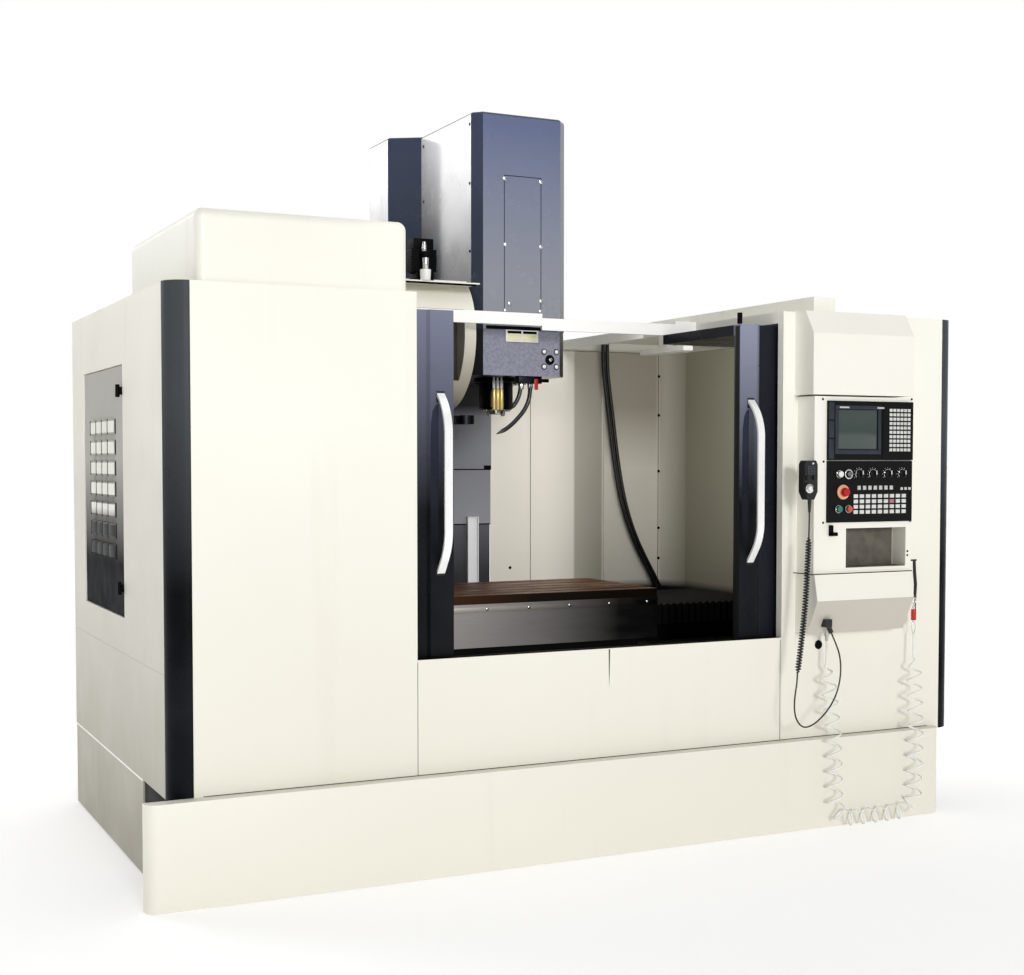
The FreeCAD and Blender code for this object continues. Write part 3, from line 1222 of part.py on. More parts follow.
def bellows_y(y0, y1):
    """Folded way cover along Y, over the bed rails."""
    step = (y1 - y0) / (2.0 * BELLOWS_FOLDS)
    roof = []
    for i in range(2 * BELLOWS_FOLDS + 1):
        roof.append((y0 + i * step, APRON_BELLOWS_TOP - (BELLOWS_FOLD if i % 2 else 0)))
    low = BED_TOP + RAIL_RISE + 12
    profile = [(y0, low)] + roof + [(y1, low)]
    return prism_x(ordered(profile), -APRON_BELLOWS_HALF, APRON_BELLOWS_HALF)


def x_bellows():
    """Both X bellows, between the table's body and the ends of the saddle."""
    x0 = TABLE_BODY_HALF_LENGTH + FIT_GAP
    x1 = SADDLE_HALF_LENGTH
    right = bellows_x(x0, x1)
    return Part.makeCompound([right, mirrored_x(right)])


def y_bellows():
    """Front way cover, between the chamber's front sheet and the saddle."""
    return bellows_y(CHAMBER_FRONT, -SADDLE_HALF_DEPTH - FIT_GAP)


# ---------------------------------------------------------------- head and spindle
def head_cover():
    """Tall bent sheet cover: bevelled front, flared rear, closed top."""
    outer = prism_z(HEAD_PLAN, HEAD_COVER_BOTTOM, HEAD_COVER_TOP)
    rim = [e for e in outer.Edges if e.BoundBox.ZMin > HEAD_COVER_TOP - 1]
    outer = outer.makeFillet(COVER_EDGE_RADIUS, rim)
    inner = prism_z(inset(HEAD_PLAN, COVER_SHEET), HEAD_COVER_BOTTOM - 1,
                    HEAD_COVER_TOP - COVER_SHEET - COVER_EDGE_RADIUS / 2)
    half = NECK_HALF_WIDTH + 2
    opening = block((-half, half), (HEAD_BACK - 20, HEAD_BACK + 1), (HEAD_COVER_BOTTOM - 1, CASTING_TOP + 2))
    return cut_all(outer, [inner, opening])


def head_casting():
    """Head with the spindle motor on top, a neck through the chamber wall, and the slide."""
    lower = prism_z(inset(HEAD_PLAN, CASTING_INSET), HEAD_BOTTOM, HEAD_COVER_BOTTOM)
    upper = prism_z(inset(HEAD_PLAN, CASTING_UPPER_INSET), HEAD_COVER_BOTTOM, CASTING_TOP)
    motor = rod((0, 0, CASTING_TOP), (0, 0, 1), SPINDLE_MOTOR_RADIUS, SPINDLE_MOTOR_HEIGHT)
    neck = block((-NECK_HALF_WIDTH, NECK_HALF_WIDTH), (HEAD_BACK - 20, NECK_BACK), (HEAD_BOTTOM, CASTING_TOP))
    slide_back = NECK_BACK + SLIDE_THICKNESS
    slide = block((-SLIDE_HALF_WIDTH, SLIDE_HALF_WIDTH), (NECK_BACK, slide_back), (SLIDE_BOTTOM, SLIDE_TOP))
    pieces = [lower, upper, motor, neck, slide]
    for side in (-1, 1):
        centre = side * Z_RAIL_SPACING
        for z in (SLIDE_BOTTOM + 20, SLIDE_TOP - 20 - BLOCK_LENGTH):
            pieces.append(guide_block((centre - BLOCK_HALF_WIDTH, centre + BLOCK_HALF_WIDTH),
                                      (slide_back, COLUMN_FRONT - 15), (z, z + BLOCK_LENGTH), "z", centre))
    screw_y = z_screw_y()
    pieces.append(block((-55, 55), (slide_back, screw_y + 40), (SLIDE_BOTTOM + NUT_LOW, SLIDE_BOTTOM + NUT_LOW + NUT_HEIGHT)))
    body = fuse_all(pieces)
    screw = rod((0, screw_y, SLIDE_BOTTOM - 1), (0, 0, 1), SCREW_RADIUS + 5, SLIDE_TOP - SLIDE_BOTTOM + 2)
    nut_bore = rod((0, screw_y, SLIDE_BOTTOM + NUT_LOW - 1), (0, 0, 1), SCREW_RADIUS + FIT_GAP, NUT_HEIGHT + 2)
    spindle_bore = rod((0, 0, HEAD_BOTTOM - 1), (0, 0, 1), SPINDLE_RADIUS + 12, SPINDLE_TOP + 10 - HEAD_BOTTOM)
    return cut_all(body, [nut_bore, spindle_bore])


def spindle_nose():
    """Spindle cartridge with the coolant manifold, fittings and nozzle hoses beside it."""
    flange_low = HEAD_BOTTOM - CARTRIDGE_FLANGE_HEIGHT
    flange = rod((0, 0, flange_low), (0, 0, 1), CARTRIDGE_FLANGE, CARTRIDGE_FLANGE_HEIGHT)
    barrel = rod((0, 0, CARTRIDGE_BOTTOM), (0, 0, 1), CARTRIDGE_RADIUS, flange_low - CARTRIDGE_BOTTOM)
    bore = rod((0, 0, CARTRIDGE_BOTTOM - 1), (0, 0, 1), SPINDLE_RADIUS + FIT_GAP, HEAD_BOTTOM - CARTRIDGE_BOTTOM + 2)
    cartridge = flange.fuse(barrel).cut(bore)
    manifold_x, manifold_y = -45.0, -CARTRIDGE_RADIUS - MANIFOLD_RADIUS - 1
    manifold = rod((manifold_x, manifold_y, MANIFOLD_BOTTOM), (0, 0, 1), MANIFOLD_RADIUS,
                   MANIFOLD_TOP - MANIFOLD_BOTTOM)
    pieces = [manifold]
    for dx in (-16, 0, 16):
        pieces.append(rod((manifold_x + dx, manifold_y, MANIFOLD_TOP), (0, 0, 1), FITTING_RADIUS,
                          HEAD_BOTTOM - MANIFOLD_TOP))
    nozzle_block = block((-10, 110), (HEAD_FRONT + 12, HEAD_FRONT + 62), (HEAD_BOTTOM - NOZZLE_BLOCK, HEAD_BOTTOM))
    hoses = []
    for points, y, label in ((NOZZLE_LONG, HEAD_FRONT + 37, "long nozzle hose"),
                             (NOZZLE_SHORT, HEAD_FRONT + 44, "short nozzle hose")):
        hoses.append(tube_along([(x, y, HEAD_BOTTOM - drop) for x, drop in points], NOZZLE_RADIUS, label))
    return Part.makeCompound([cartridge, fuse_all(pieces), nozzle_block] + hoses)


def spindle():
    """Rotating spindle with its taper, drawbar bore and two drive keys."""
    shaft = rod((0, 0, SPINDLE_NOSE), (0, 0, 1), SPINDLE_RADIUS, SPINDLE_TOP - SPINDLE_NOSE)
    small = TAPER_MOUTH_RADIUS - TAPER_DEPTH * TAPER_RATIO / 2
    taper = Part.makeCone(TAPER_MOUTH_RADIUS, small, TAPER_DEPTH, V(0, 0, SPINDLE_NOSE))
    drawbar = rod((0, 0, SPINDLE_NOSE), (0, 0, 1), DRAWBAR_RADIUS, SPINDLE_TOP - SPINDLE_NOSE + 1)
    keys = []
    for side in (-1, 1):
        centre = side * (SPINDLE_RADIUS - 9)
        keys.append(block((centre - 7, centre + 7), (-DRIVE_KEY / 2, DRIVE_KEY / 2), (SPINDLE_NOSE - 8, SPINDLE_NOSE)))
    return cut_all(fuse_all([shaft] + keys), [taper, drawbar])


# ---------------------------------------------------------------- tool magazine
def magazine_housing():
    """Drum guard with a flat top and lip, a front window, and the bracket to the column."""
    left = MAGAZINE_RIGHT - MAGAZINE_WIDTH
    axis = (left, 0, MAGAZINE_CENTRE_Z)
    drum = rod(axis, (1, 0, 0), MAGAZINE_RADIUS, MAGAZINE_WIDTH)
    hollow = rod((left + SHEET, 0, MAGAZINE_CENTRE_Z), (1, 0, 0), MAGAZINE_RADIUS - SHEET,
                 MAGAZINE_WIDTH - 2 * SHEET)
    above = block((left - 10, 0), (-500, 500), (MAGAZINE_FLAT_TOP, MAGAZINE_FLAT_TOP + 300))
    window = block((left + MAGAZINE_RING, MAGAZINE_RIGHT - MAGAZINE_RING), (-500, 0),
                   (WINDOW_BOTTOM_Z, WINDOW_TOP_Z))
    pot_gap = block((left + 30, left + 170), (-75, 75), (MAGAZINE_CENTRE_Z - 400, MAGAZINE_CENTRE_Z - 250))
    arm_gap = block((MAGAZINE_RIGHT - 96, MAGAZINE_RIGHT - 4), (-60, 60),
                    (MAGAZINE_CENTRE_Z - 400, CAM_BOX_BOTTOM))
    guard = cut_all(drum, [hollow, above, window, pot_gap, arm_gap])
    lip = block((left, MAGAZINE_RIGHT), (-MAGAZINE_LIP_FRONT, -MAGAZINE_LIP_BACK),
                (MAGAZINE_LIP_Z, MAGAZINE_LIP_Z + MAGAZINE_LIP))
    rise = MAGAZINE_FLAT_TOP - MAGAZINE_CENTRE_Z
    half = math.sqrt(MAGAZINE_RADIUS ** 2 - rise ** 2)
    lid = block((left, MAGAZINE_RIGHT), (-half, half), (MAGAZINE_FLAT_TOP - SHEET, MAGAZINE_FLAT_TOP))
    x0, x1 = left + 140, -HEAD_REAR_HALF_WIDTH - 15
    arm = block((x0, x1), (200, COLUMN_FRONT + 100), (BRACKET_LOW, BRACKET_HIGH))
    foot = block((x1, -COLUMN_HALF_WIDTH), (COLUMN_FRONT + 8, COLUMN_FRONT + 100), (BRACKET_LOW - 60, BRACKET_HIGH + 60))
    clear = rod((left - 1, 0, MAGAZINE_CENTRE_Z), (1, 0, 0), MAGAZINE_RADIUS - 1, MAGAZINE_WIDTH + 2)
    bracket = arm.fuse(foot).cut(clear)
    return fuse_all([guard, lip, lid, bracket])


def magazine_drive():
    """Cam box of the change arm, hung in the guard, and the gear motor on top."""
    x = (MAGAZINE_RIGHT - CAM_BOX_WIDTH, MAGAZINE_RIGHT - SHEET)
    box = block(x, (-130, 130), (CAM_BOX_BOTTOM, MAGAZINE_FLAT_TOP - SHEET))
    shaft = rod((x[0], 0, MAGAZINE_CENTRE_Z), (-1, 0, 0), DRUM_SHAFT - FIT_GAP, DRUM_OFFSET - CAM_BOX_WIDTH + 60)
    base_z = MAGAZINE_LIP_Z + MAGAZINE_LIP
    y = (-MAGAZINE_LIP_FRONT + 8, -MAGAZINE_LIP_FRONT + 112)
    motor_x = (DRIVE_MOTOR_LEFT, DRIVE_MOTOR_LEFT + DRIVE_MOTOR_WIDTH)
    base = block((motor_x[0] + 12, motor_x[1] - 12), (y[0] + 10, y[1] - 10), (base_z, base_z + 42))
    motor = block(motor_x, y, (base_z + 42, base_z + DRIVE_MOTOR_HEIGHT))
    bowl = rod((motor_x[0] - 26, y[0] + 40, base_z), (0, 0, 1), 21, DRIVE_MOTOR_HEIGHT + 20)
    return Part.makeCompound([box.fuse(shaft), base.fuse(motor), bowl])


def magazine_drum():
    """Disc with a ring of tool pots."""
    x = MAGAZINE_RIGHT - DRUM_OFFSET
    plate = rod((x, 0, MAGAZINE_CENTRE_Z), (-1, 0, 0), POT_CIRCLE + POT_RADIUS + PLATE_MARGIN, DRUM_PLATE)
    pieces = [plate]
    bores = [rod((x + 1, 0, MAGAZINE_CENTRE_Z), (-1, 0, 0), DRUM_SHAFT, DRUM_PLATE + 40)]
    hub = rod((x - DRUM_PLATE, 0, MAGAZINE_CENTRE_Z), (-1, 0, 0), 70, 30)
    pieces.append(hub)
    for i in range(POT_COUNT):
        angle = 2 * math.pi * i / POT_COUNT
        y = POT_CIRCLE * math.sin(angle)
        z = MAGAZINE_CENTRE_Z - POT_CIRCLE * math.cos(angle)
        pieces.append(rod((x - DRUM_PLATE, y, z), (-1, 0, 0), POT_RADIUS, POT_LENGTH))
        bores.append(rod((x - DRUM_PLATE - 20, y, z), (-1, 0, 0), POT_BORE, POT_LENGTH))
    return cut_all(fuse_all(pieces), bores)


def change_arm():
    """Double arm with a gripper fork at each end, on its shaft."""
    x = -ARM_REACH
    low = ARM_TOP - ARM_THICKNESS
    bar = block((x - 32, x + 32), (-ARM_REACH, ARM_REACH), (low, ARM_TOP))
    hub = rod((x, 0, low), (0, 0, 1), 52, ARM_THICKNESS)
    shaft = rod((x, 0, ARM_TOP), (0, 0, 1), ARM_SHAFT_RADIUS, CAM_BOX_BOTTOM - FIT_GAP - ARM_TOP)
    pieces = [bar, hub, shaft]
    grips = []
    for side in (-1, 1):
        pieces.append(rod((x, side * ARM_REACH, low), (0, 0, 1), GRIP_OUTER, ARM_THICKNESS))
        grips.append(rod((x, side * ARM_REACH, low - 1), (0, 0, 1), GRIP_RADIUS, ARM_THICKNESS + 2))
        mouth = (x, x + side * 60)
        grips.append(block((min(mouth), max(mouth)), (side * ARM_REACH - 27, side * ARM_REACH + 27),
                           (low - 1, ARM_TOP + 1)))
    return cut_all(fuse_all(pieces), grips)


# ---------------------------------------------------------------- operator station
def station_hood():
    """Hood above the panel with a sloped upper edge, open below and behind."""
    profile = [
        (FRONT_Y, STATION_HOOD_LOW), (FRONT_Y - STATION_HOOD_PROUD, STATION_HOOD_LOW),
        (FRONT_Y - STATION_HOOD_PROUD, STATION_HOOD_SLOPE_LOW),
        (FRONT_Y - STATION_HOOD_TOP_PROUD, ENCLOSURE_HEIGHT), (FRONT_Y, ENCLOSURE_HEIGHT),
    ]
    outer = prism_x(profile, STATION_LEFT, STATION_RIGHT)
    hollow = inset(ordered(profile), SHEET)
    hollow = [(y + (SHEET + 1 if y > FRONT_Y - 2 * SHEET else 0), z) for y, z in hollow]
    return outer.cut(prism_x(hollow, STATION_LEFT + SHEET, STATION_RIGHT - SHEET))


def shelf_outline(x0, x1):
    return prism_x(SHELF_PROFILE, x0, x1)


def station_cabinet():
    """Panel box with the pocket window, on the sloped shelf box."""
    front = FRONT_Y - CABINET_PROUD
    box = tray((CABINET_LEFT, CABINET_RIGHT), (front, FRONT_Y), (SHELF_TOP, CABINET_TOP), "+y")
    pocket_x = (POCKET_LEFT, POCKET_LEFT + POCKET_WIDTH)
    pocket_z = (POCKET_LOW, POCKET_LOW + POCKET_HEIGHT)
    liner = tray((pocket_x[0] - SHEET, pocket_x[1] + SHEET), (front, front + POCKET_DEPTH),
                 (pocket_z[0] - SHEET, pocket_z[1] + SHEET), "-y")
    hole = block(pocket_x, (front - 1, front + SHEET + 1), pocket_z)
    upper = fuse_all([box.cut(hole), liner])
    upper = cut_all(upper, [stem_bore(px, pz) for px, pz, radius in control_places()])
    shelf_x = (CABINET_LEFT - 5, CABINET_RIGHT - 12)
    hollow = inset(ordered(SHELF_PROFILE), SHEET)
    hollow = [(y + (SHEET + 1 if y > FRONT_Y - 2 * SHEET else 0), z) for y, z in hollow]
    shelf = shelf_outline(*shelf_x).cut(prism_x(hollow, shelf_x[0] + SHEET, shelf_x[1] - SHEET))
    latch = block((LATCH_X, LATCH_X + 14), (front - 14, front), (LATCH_Z, LATCH_Z + 46))
    toe = block((LATCH_X + 14, LATCH_X + 38), (front - 14, front), (LATCH_Z, LATCH_Z + 14))
    return Part.makeCompound([upper, shelf, latch.fuse(toe)])


def panel_front():
    return FRONT_Y - CABINET_PROUD


def stem_bore(x, z):
    return rod((x, panel_front() - 40, z), (0, 1, 0), STEM_RADIUS + FIT_GAP, 90)


def operator_panels():
    """Display unit above, control plate below, both with their collars and bores."""
    y = panel_front()
    x = (PLATE_LEFT, PLATE_LEFT + PLATE_WIDTH)
    display = block(x, (y - DISPLAY_THICKNESS, y), (DISPLAY_LOW, DISPLAY_LOW + DISPLAY_HEIGHT))
    screen = block((SCREEN_LEFT, SCREEN_LEFT + SCREEN_WIDTH),
                   (y - DISPLAY_THICKNESS - 1, y - DISPLAY_THICKNESS + SCREEN_RECESS),
                   (SCREEN_LOW, SCREEN_LOW + SCREEN_HEIGHT))
    plate = block(x, (y - CONTROL_THICKNESS, y), (CONTROL_LOW, CONTROL_LOW + CONTROL_HEIGHT))
    face = y - CONTROL_THICKNESS
    collars = []
    places = control_places()
    for px, pz, radius in places:
        collars.append(rod((px, face, pz), (0, -1, 0), radius, COLLAR_RISE))
    plate = fuse_all([plate] + collars)
    return Part.makeCompound([display.cut(screen), cut_all(plate, [stem_bore(px, pz) for px, pz, radius in places])])


def control_places():
    """Every button and switch on the control plate: x, z and the radius of its collar."""
    places = [(START_X, BUTTON_ROW, COLLAR_RADIUS), (STOP_X, BUTTON_ROW, COLLAR_RADIUS)]
    places += [(RESET_X, UPPER_ROW, COLLAR_RADIUS), (KEY_SWITCH_X, UPPER_ROW, COLLAR_RADIUS)]
    places += [(x, UPPER_ROW, COLLAR_RADIUS) for x in KNOB_XS]
    places.append((STOP_MUSHROOM_X, STOP_MUSHROOM_Z, STOP_RING))
    return places


def panel_keys():
    """Membrane keys of the display unit and of the control plate."""
    keys = []
    y = panel_front() - DISPLAY_THICKNESS
    for column_index in range(DATA_KEY_COLUMNS):
        for row in range(DATA_KEY_ROWS):
            x = DATA_KEY_LEFT + column_index * DATA_KEY_PITCH_X
            z = DATA_KEY_TOP - row * DATA_KEY_PITCH_Z
            keys.append(block((x - DATA_KEY_WIDTH / 2, x + DATA_KEY_WIDTH / 2), (y - KEY_RISE, y),
                              (z - DATA_KEY_HEIGHT / 2, z + DATA_KEY_HEIGHT / 2)))
    y = panel_front() - CONTROL_THICKNESS
    for column_index in range(COMMAND_KEY_COLUMNS):
        for row in range(COMMAND_KEY_ROWS):
            x = COMMAND_KEY_LEFT + column_index * COMMAND_KEY_PITCH_X
            z = COMMAND_KEY_TOP - row * COMMAND_KEY_PITCH_Z
            keys.append(block((x - COMMAND_KEY_WIDTH / 2, x + COMMAND_KEY_WIDTH / 2), (y - KEY_RISE, y),
                              (z - COMMAND_KEY_HEIGHT / 2, z + COMMAND_KEY_HEIGHT / 2)))
    return Part.makeCompound(keys)


def push_button(x, z, radius, rise):
    """A cap on a stem that runs through its collar."""
    face = panel_front() - CONTROL_THICKNESS - COLLAR_RISE
    gap = BUTTON_TRAVEL + 1
    cap = rod((x, face - gap, z), (0, -1, 0), radius, rise - gap)
    stem = rod((x, face - gap, z), (0, 1, 0), STEM_RADIUS, STEM_LENGTH)
    return cap.fuse(stem)


def start_button():
    return push_button(START_X, BUTTON_ROW, BUTTON_RADIUS, BUTTON_RISE)


def stop_button():
    return push_button(STOP_X, BUTTON_ROW, BUTTON_RADIUS, BUTTON_RISE)


def reset_button():
    return push_button(RESET_X, UPPER_ROW, BUTTON_RADIUS, BUTTON_RISE)


def emergency_stop():
    """Mushroom head on its stem."""
    face = panel_front() - CONTROL_THICKNESS - COLLAR_RISE
    gap = STOP_TRAVEL + 1
    neck = rod((STOP_MUSHROOM_X, face - gap, STOP_MUSHROOM_Z), (0, -1, 0), STOP_MUSHROOM_RADIUS * 0.7,
               STOP_MUSHROOM_RISE - gap - 12)
    head = Part.makeCone(STOP_MUSHROOM_RADIUS, STOP_MUSHROOM_RADIUS * 0.85, 12,
                         V(STOP_MUSHROOM_X, face - STOP_MUSHROOM_RISE + 12, STOP_MUSHROOM_Z), V(0, -1, 0))
    stem = rod((STOP_MUSHROOM_X, face - gap, STOP_MUSHROOM_Z), (0, 1, 0), STEM_RADIUS, STEM_LENGTH)
    return fuse_all([neck, head, stem])


def turning_knob(x, z):
    """Rotary knob with a grip bar across its face, on a stem."""
    face = panel_front() - CONTROL_THICKNESS - COLLAR_RISE
    skirt = rod((x, face - 1, z), (0, -1, 0), KNOB_RADIUS, 7)
    grip = block((x - 4, x + 4), (face - KNOB_RISE, face - 7), (z - KNOB_RADIUS + 2, z + KNOB_RADIUS - 2))
    stem = rod((x, face - 1, z), (0, 1, 0), STEM_RADIUS, STEM_LENGTH)
    return fuse_all([skirt, grip, stem])


def key_switch():
    """Lock barrel with its key in place."""
    face = panel_front() - CONTROL_THICKNESS - COLLAR_RISE
    barrel = rod((KEY_SWITCH_X, face - 1, UPPER_ROW), (0, -1, 0), 10, 6)
    stem = rod((KEY_SWITCH_X, face - 1, UPPER_ROW), (0, 1, 0), STEM_RADIUS, STEM_LENGTH)
    key = block((KEY_SWITCH_X - 1.5, KEY_SWITCH_X + 1.5), (face - 24, face - 6), (UPPER_ROW - 9, UPPER_ROW + 9))
    return fuse_all([barrel, stem, key])


# ---------------------------------------------------------------- pendant and cords
def pendant_body():
    """Handwheel box on its holder, with the strain relief of its cord."""
    left, right = PENDANT_X - PENDANT_WIDTH / 2, PENDANT_X + PENDANT_WIDTH / 2
    low, high = PENDANT_LOW, PENDANT_LOW + PENDANT_HEIGHT
    y = (PENDANT_Y, PENDANT_Y + PENDANT_DEPTH)
    outline = [
        (left, low + PENDANT_NECK), (left + PENDANT_SHOULDER, low), (right - PENDANT_SHOULDER, low),
        (right, low + PENDANT_NECK), (right, high - PENDANT_SHOULDER), (right - PENDANT_SHOULDER / 2, high),
        (left + PENDANT_SHOULDER / 2, high), (left, high - PENDANT_SHOULDER),
    ]
    box = prism_y(outline, *y)
    box = box.makeFillet(PENDANT_EDGE, [e for e in box.Edges if e.BoundBox.YLength > PENDANT_DEPTH - 1])
    selectors = [rod((PENDANT_X + dx, PENDANT_Y + 1, high - 75), (0, -1, 0), SELECTOR_RADIUS, 11) for dx in (-21, 15)]
    holder = block((right - 20, CABINET_LEFT), (y[1] - 12, y[1] + 20), (high - 70, high - 20))
    start = V(*CORD_STRAIGHT[0])
    heading = start - V(*CORD_STRAIGHT[1])
    relief = Part.makeCone(CORD_RADIUS + 2, 9, PENDANT_LOW + 1 - start.z, start, heading)
    body = fuse_all([box, holder, relief] + selectors)
    bore = rod((DIAL_X, PENDANT_Y - 1, DIAL_Z), (0, 1, 0), STEM_RADIUS + FIT_GAP, 24)
    return body.cut(bore)


def pendant_dial():
    """Hand wheel of the pendant with its finger grip."""
    back = PENDANT_Y - DIAL_SEAT
    wheel = rod((DIAL_X, back, DIAL_Z), (0, -1, 0), DIAL_RADIUS, DIAL_RISE)
    grip = rod((DIAL_X + DIAL_RADIUS * 0.6, back - DIAL_RISE, DIAL_Z), (0, -1, 0), 5, DIAL_GRIP)
    stem = rod((DIAL_X, back, DIAL_Z), (0, 1, 0), STEM_RADIUS, 20)
    return fuse_all([wheel, grip, stem])


def pendant_cord():
    """Thin lead, curled length and slack tail, as plain tubes that meet face to face."""
    lead = tube_along(CORD_STRAIGHT, CORD_RADIUS, "pendant lead")
    curls = tube_along(CORD_CURLED, CURL_RADIUS, "pendant curls")
    tail = tube_along(CORD_TAIL, CORD_RADIUS, "pendant tail")
    return Part.makeCompound([lead, curls, tail])


def cord_connector():
    """Round socket on the shelf's sloped underside with the plug in it."""
    tip = V(*CORD_TAIL[-1])
    before = V(*CORD_TAIL[-2])
    heading = tip - before
    heading.normalize()
    plug = Part.makeCylinder(PLUG_RADIUS, PLUG_LENGTH, tip, heading)
    end = tip + heading * PLUG_LENGTH
    socket = block((end.x - 17, end.x + 17), (end.y - 14, FRONT_Y), (end.z - 16, end.z + 18))
    return plug.fuse(socket).cut(shelf_outline(CABINET_LEFT, CABINET_RIGHT))


def air_gun():
    """Hook rod on the cabinet's side with the strap, ring, red grip and tip that hang from it."""
    peg = rod((CABINET_RIGHT, GUN_Y, GUN_Z), (1, 0, 0), 4, GUN_X + 12 - CABINET_RIGHT)
    strap_low = GUN_Z - 4 - GUN_STRAP
    strap = block((GUN_X - 8, GUN_X + 8), (GUN_Y - 7, GUN_Y + 7), (strap_low, GUN_Z - 4))
    ring_z = strap_low - GUN_RING + 1
    ring = rod((GUN_X, GUN_Y - 3, ring_z), (0, 1, 0), GUN_RING, 6)
    ring = ring.cut(rod((GUN_X, GUN_Y - 4, ring_z), (0, 1, 0), GUN_RING - 6, 8))
    link_low = ring_z - GUN_LINK
    link = rod((GUN_X, GUN_Y, link_low - 1), (0, 0, 1), 5, GUN_LINK - GUN_RING + 5)
    grip = rod((GUN_X, GUN_Y, link_low), (0, 0, -1), 12, GUN_GRIP)
    tip_top = link_low - GUN_GRIP
    tip = Part.makeCone(9, 5, GUN_TIP, V(GUN_X, GUN_Y, tip_top), V(0, 0, -1))
    hose_x, hose_y, hose_z = HOSE_ROUTE[0]
    heading = V(hose_x, hose_y, hose_z) - V(GUN_X, GUN_Y, tip_top - GUN_TIP + 1)
    lead = rod((GUN_X, GUN_Y, tip_top - GUN_TIP + 1), heading, HOSE_RADIUS, heading.Length - CORD_GAP)
    x, y, z = HOSE_ROUTE[-1]
    port = rod((x, y, SHELF_LOW), (0, 0, -1), 12, 40)
    port_lead = rod((x, y, SHELF_LOW - 40), (0, 0, -1), HOSE_RADIUS, SHELF_LOW - 40 - z - CORD_GAP)
    return Part.makeCompound([peg.fuse(strap), fuse_all([ring, link, grip, tip, lead]), port.fuse(port_lead)])


def air_hose():
    """Spiral air hose: a tube of the coil's outer size from the gun to its port."""
    return tube_along(HOSE_ROUTE, HOSE_CURL_RADIUS, "air hose")


# ---------------------------------------------------------------- chamber fittings
def work_light():
    """Long lamp under the rear roof, with its bracket."""
    low = ENCLOSURE_HEIGHT - LAMP_DROP
    lamp = block((LAMP_LEFT, LAMP_LEFT + LAMP_WIDTH), (LAMP_FRONT, LAMP_FRONT + LAMP_LENGTH), (low, low + LAMP_THICKNESS))
    bracket = block((LAMP_LEFT + LAMP_ARM_INSET, LAMP_LEFT + LAMP_WIDTH - LAMP_ARM_INSET),
                    (LAMP_ARM_FRONT, LAMP_ARM_FRONT + LAMP_ARM_LENGTH),
                    (low + LAMP_THICKNESS, ENCLOSURE_HEIGHT - SHEET))
    return lamp.fuse(bracket)


def coolant_hoses():
    """Two wash hoses that hang side by side from the roof to the rear of the chamber."""
    hoses = []
    for shift in (0.0, -WASH_HOSE_PITCH):
        points = [(x + shift, y, z) for x, y, z in WASH_HOSE]
        hoses.append(tube_along(points, WASH_HOSE_RADIUS, "wash hose"))
    return Part.makeCompound(hoses)


def hose_fittings():
    """Glands under the roof and one block on the back wall for the two wash hoses."""
    solids = []
    for shift in (0.0, -WASH_HOSE_PITCH):
        x, y, z = WASH_HOSE[0]
        solids.append(rod((x + shift, y, z + FIT_GAP), (0, 0, 1), WASH_HOSE_RADIUS + 1,
                          ENCLOSURE_HEIGHT - SHEET - z - FIT_GAP))
    heading = V(*WASH_HOSE[-1]) - V(*WASH_HOSE[-2])
    heading.normalize()
    tip = V(*WASH_HOSE[-1]) + heading * CORD_GAP
    end = tip + heading * WASH_COLLAR
    pieces = [block((end.x - WASH_HOSE_PITCH - 14, end.x + 14), (end.y - 10, WALL_Y), (end.z - 42, end.z + 4))]
    for shift in (0.0, -WASH_HOSE_PITCH):
        pieces.append(Part.makeCylinder(WASH_HOSE_RADIUS + 1, WASH_COLLAR, tip + V(shift, 0, 0), heading))
    return solids + [fuse_all(pieces)]


def column_bolts():
    """Hexagon bolts that hold the column's foot on the bed."""
    bolts = []
    for side in (-1, 1):
        x = side * (COLUMN_FOOT_HALF_WIDTH - 40)
        for i in range(4):
            y = COLUMN_FRONT + 70 + i * (COLUMN_DEPTH - 140) / 3.0
            corners = [(x + COLUMN_BOLT_RADIUS * math.cos(math.radians(60 * k)),
                        y + COLUMN_BOLT_RADIUS * math.sin(math.radians(60 * k))) for k in range(6)]
            top = COLUMN_PAD_TOP + COLUMN_FOOT_HEIGHT
            bolts.append(prism_z(corners, top, top + COLUMN_BOLT_HEAD))
    return bolts


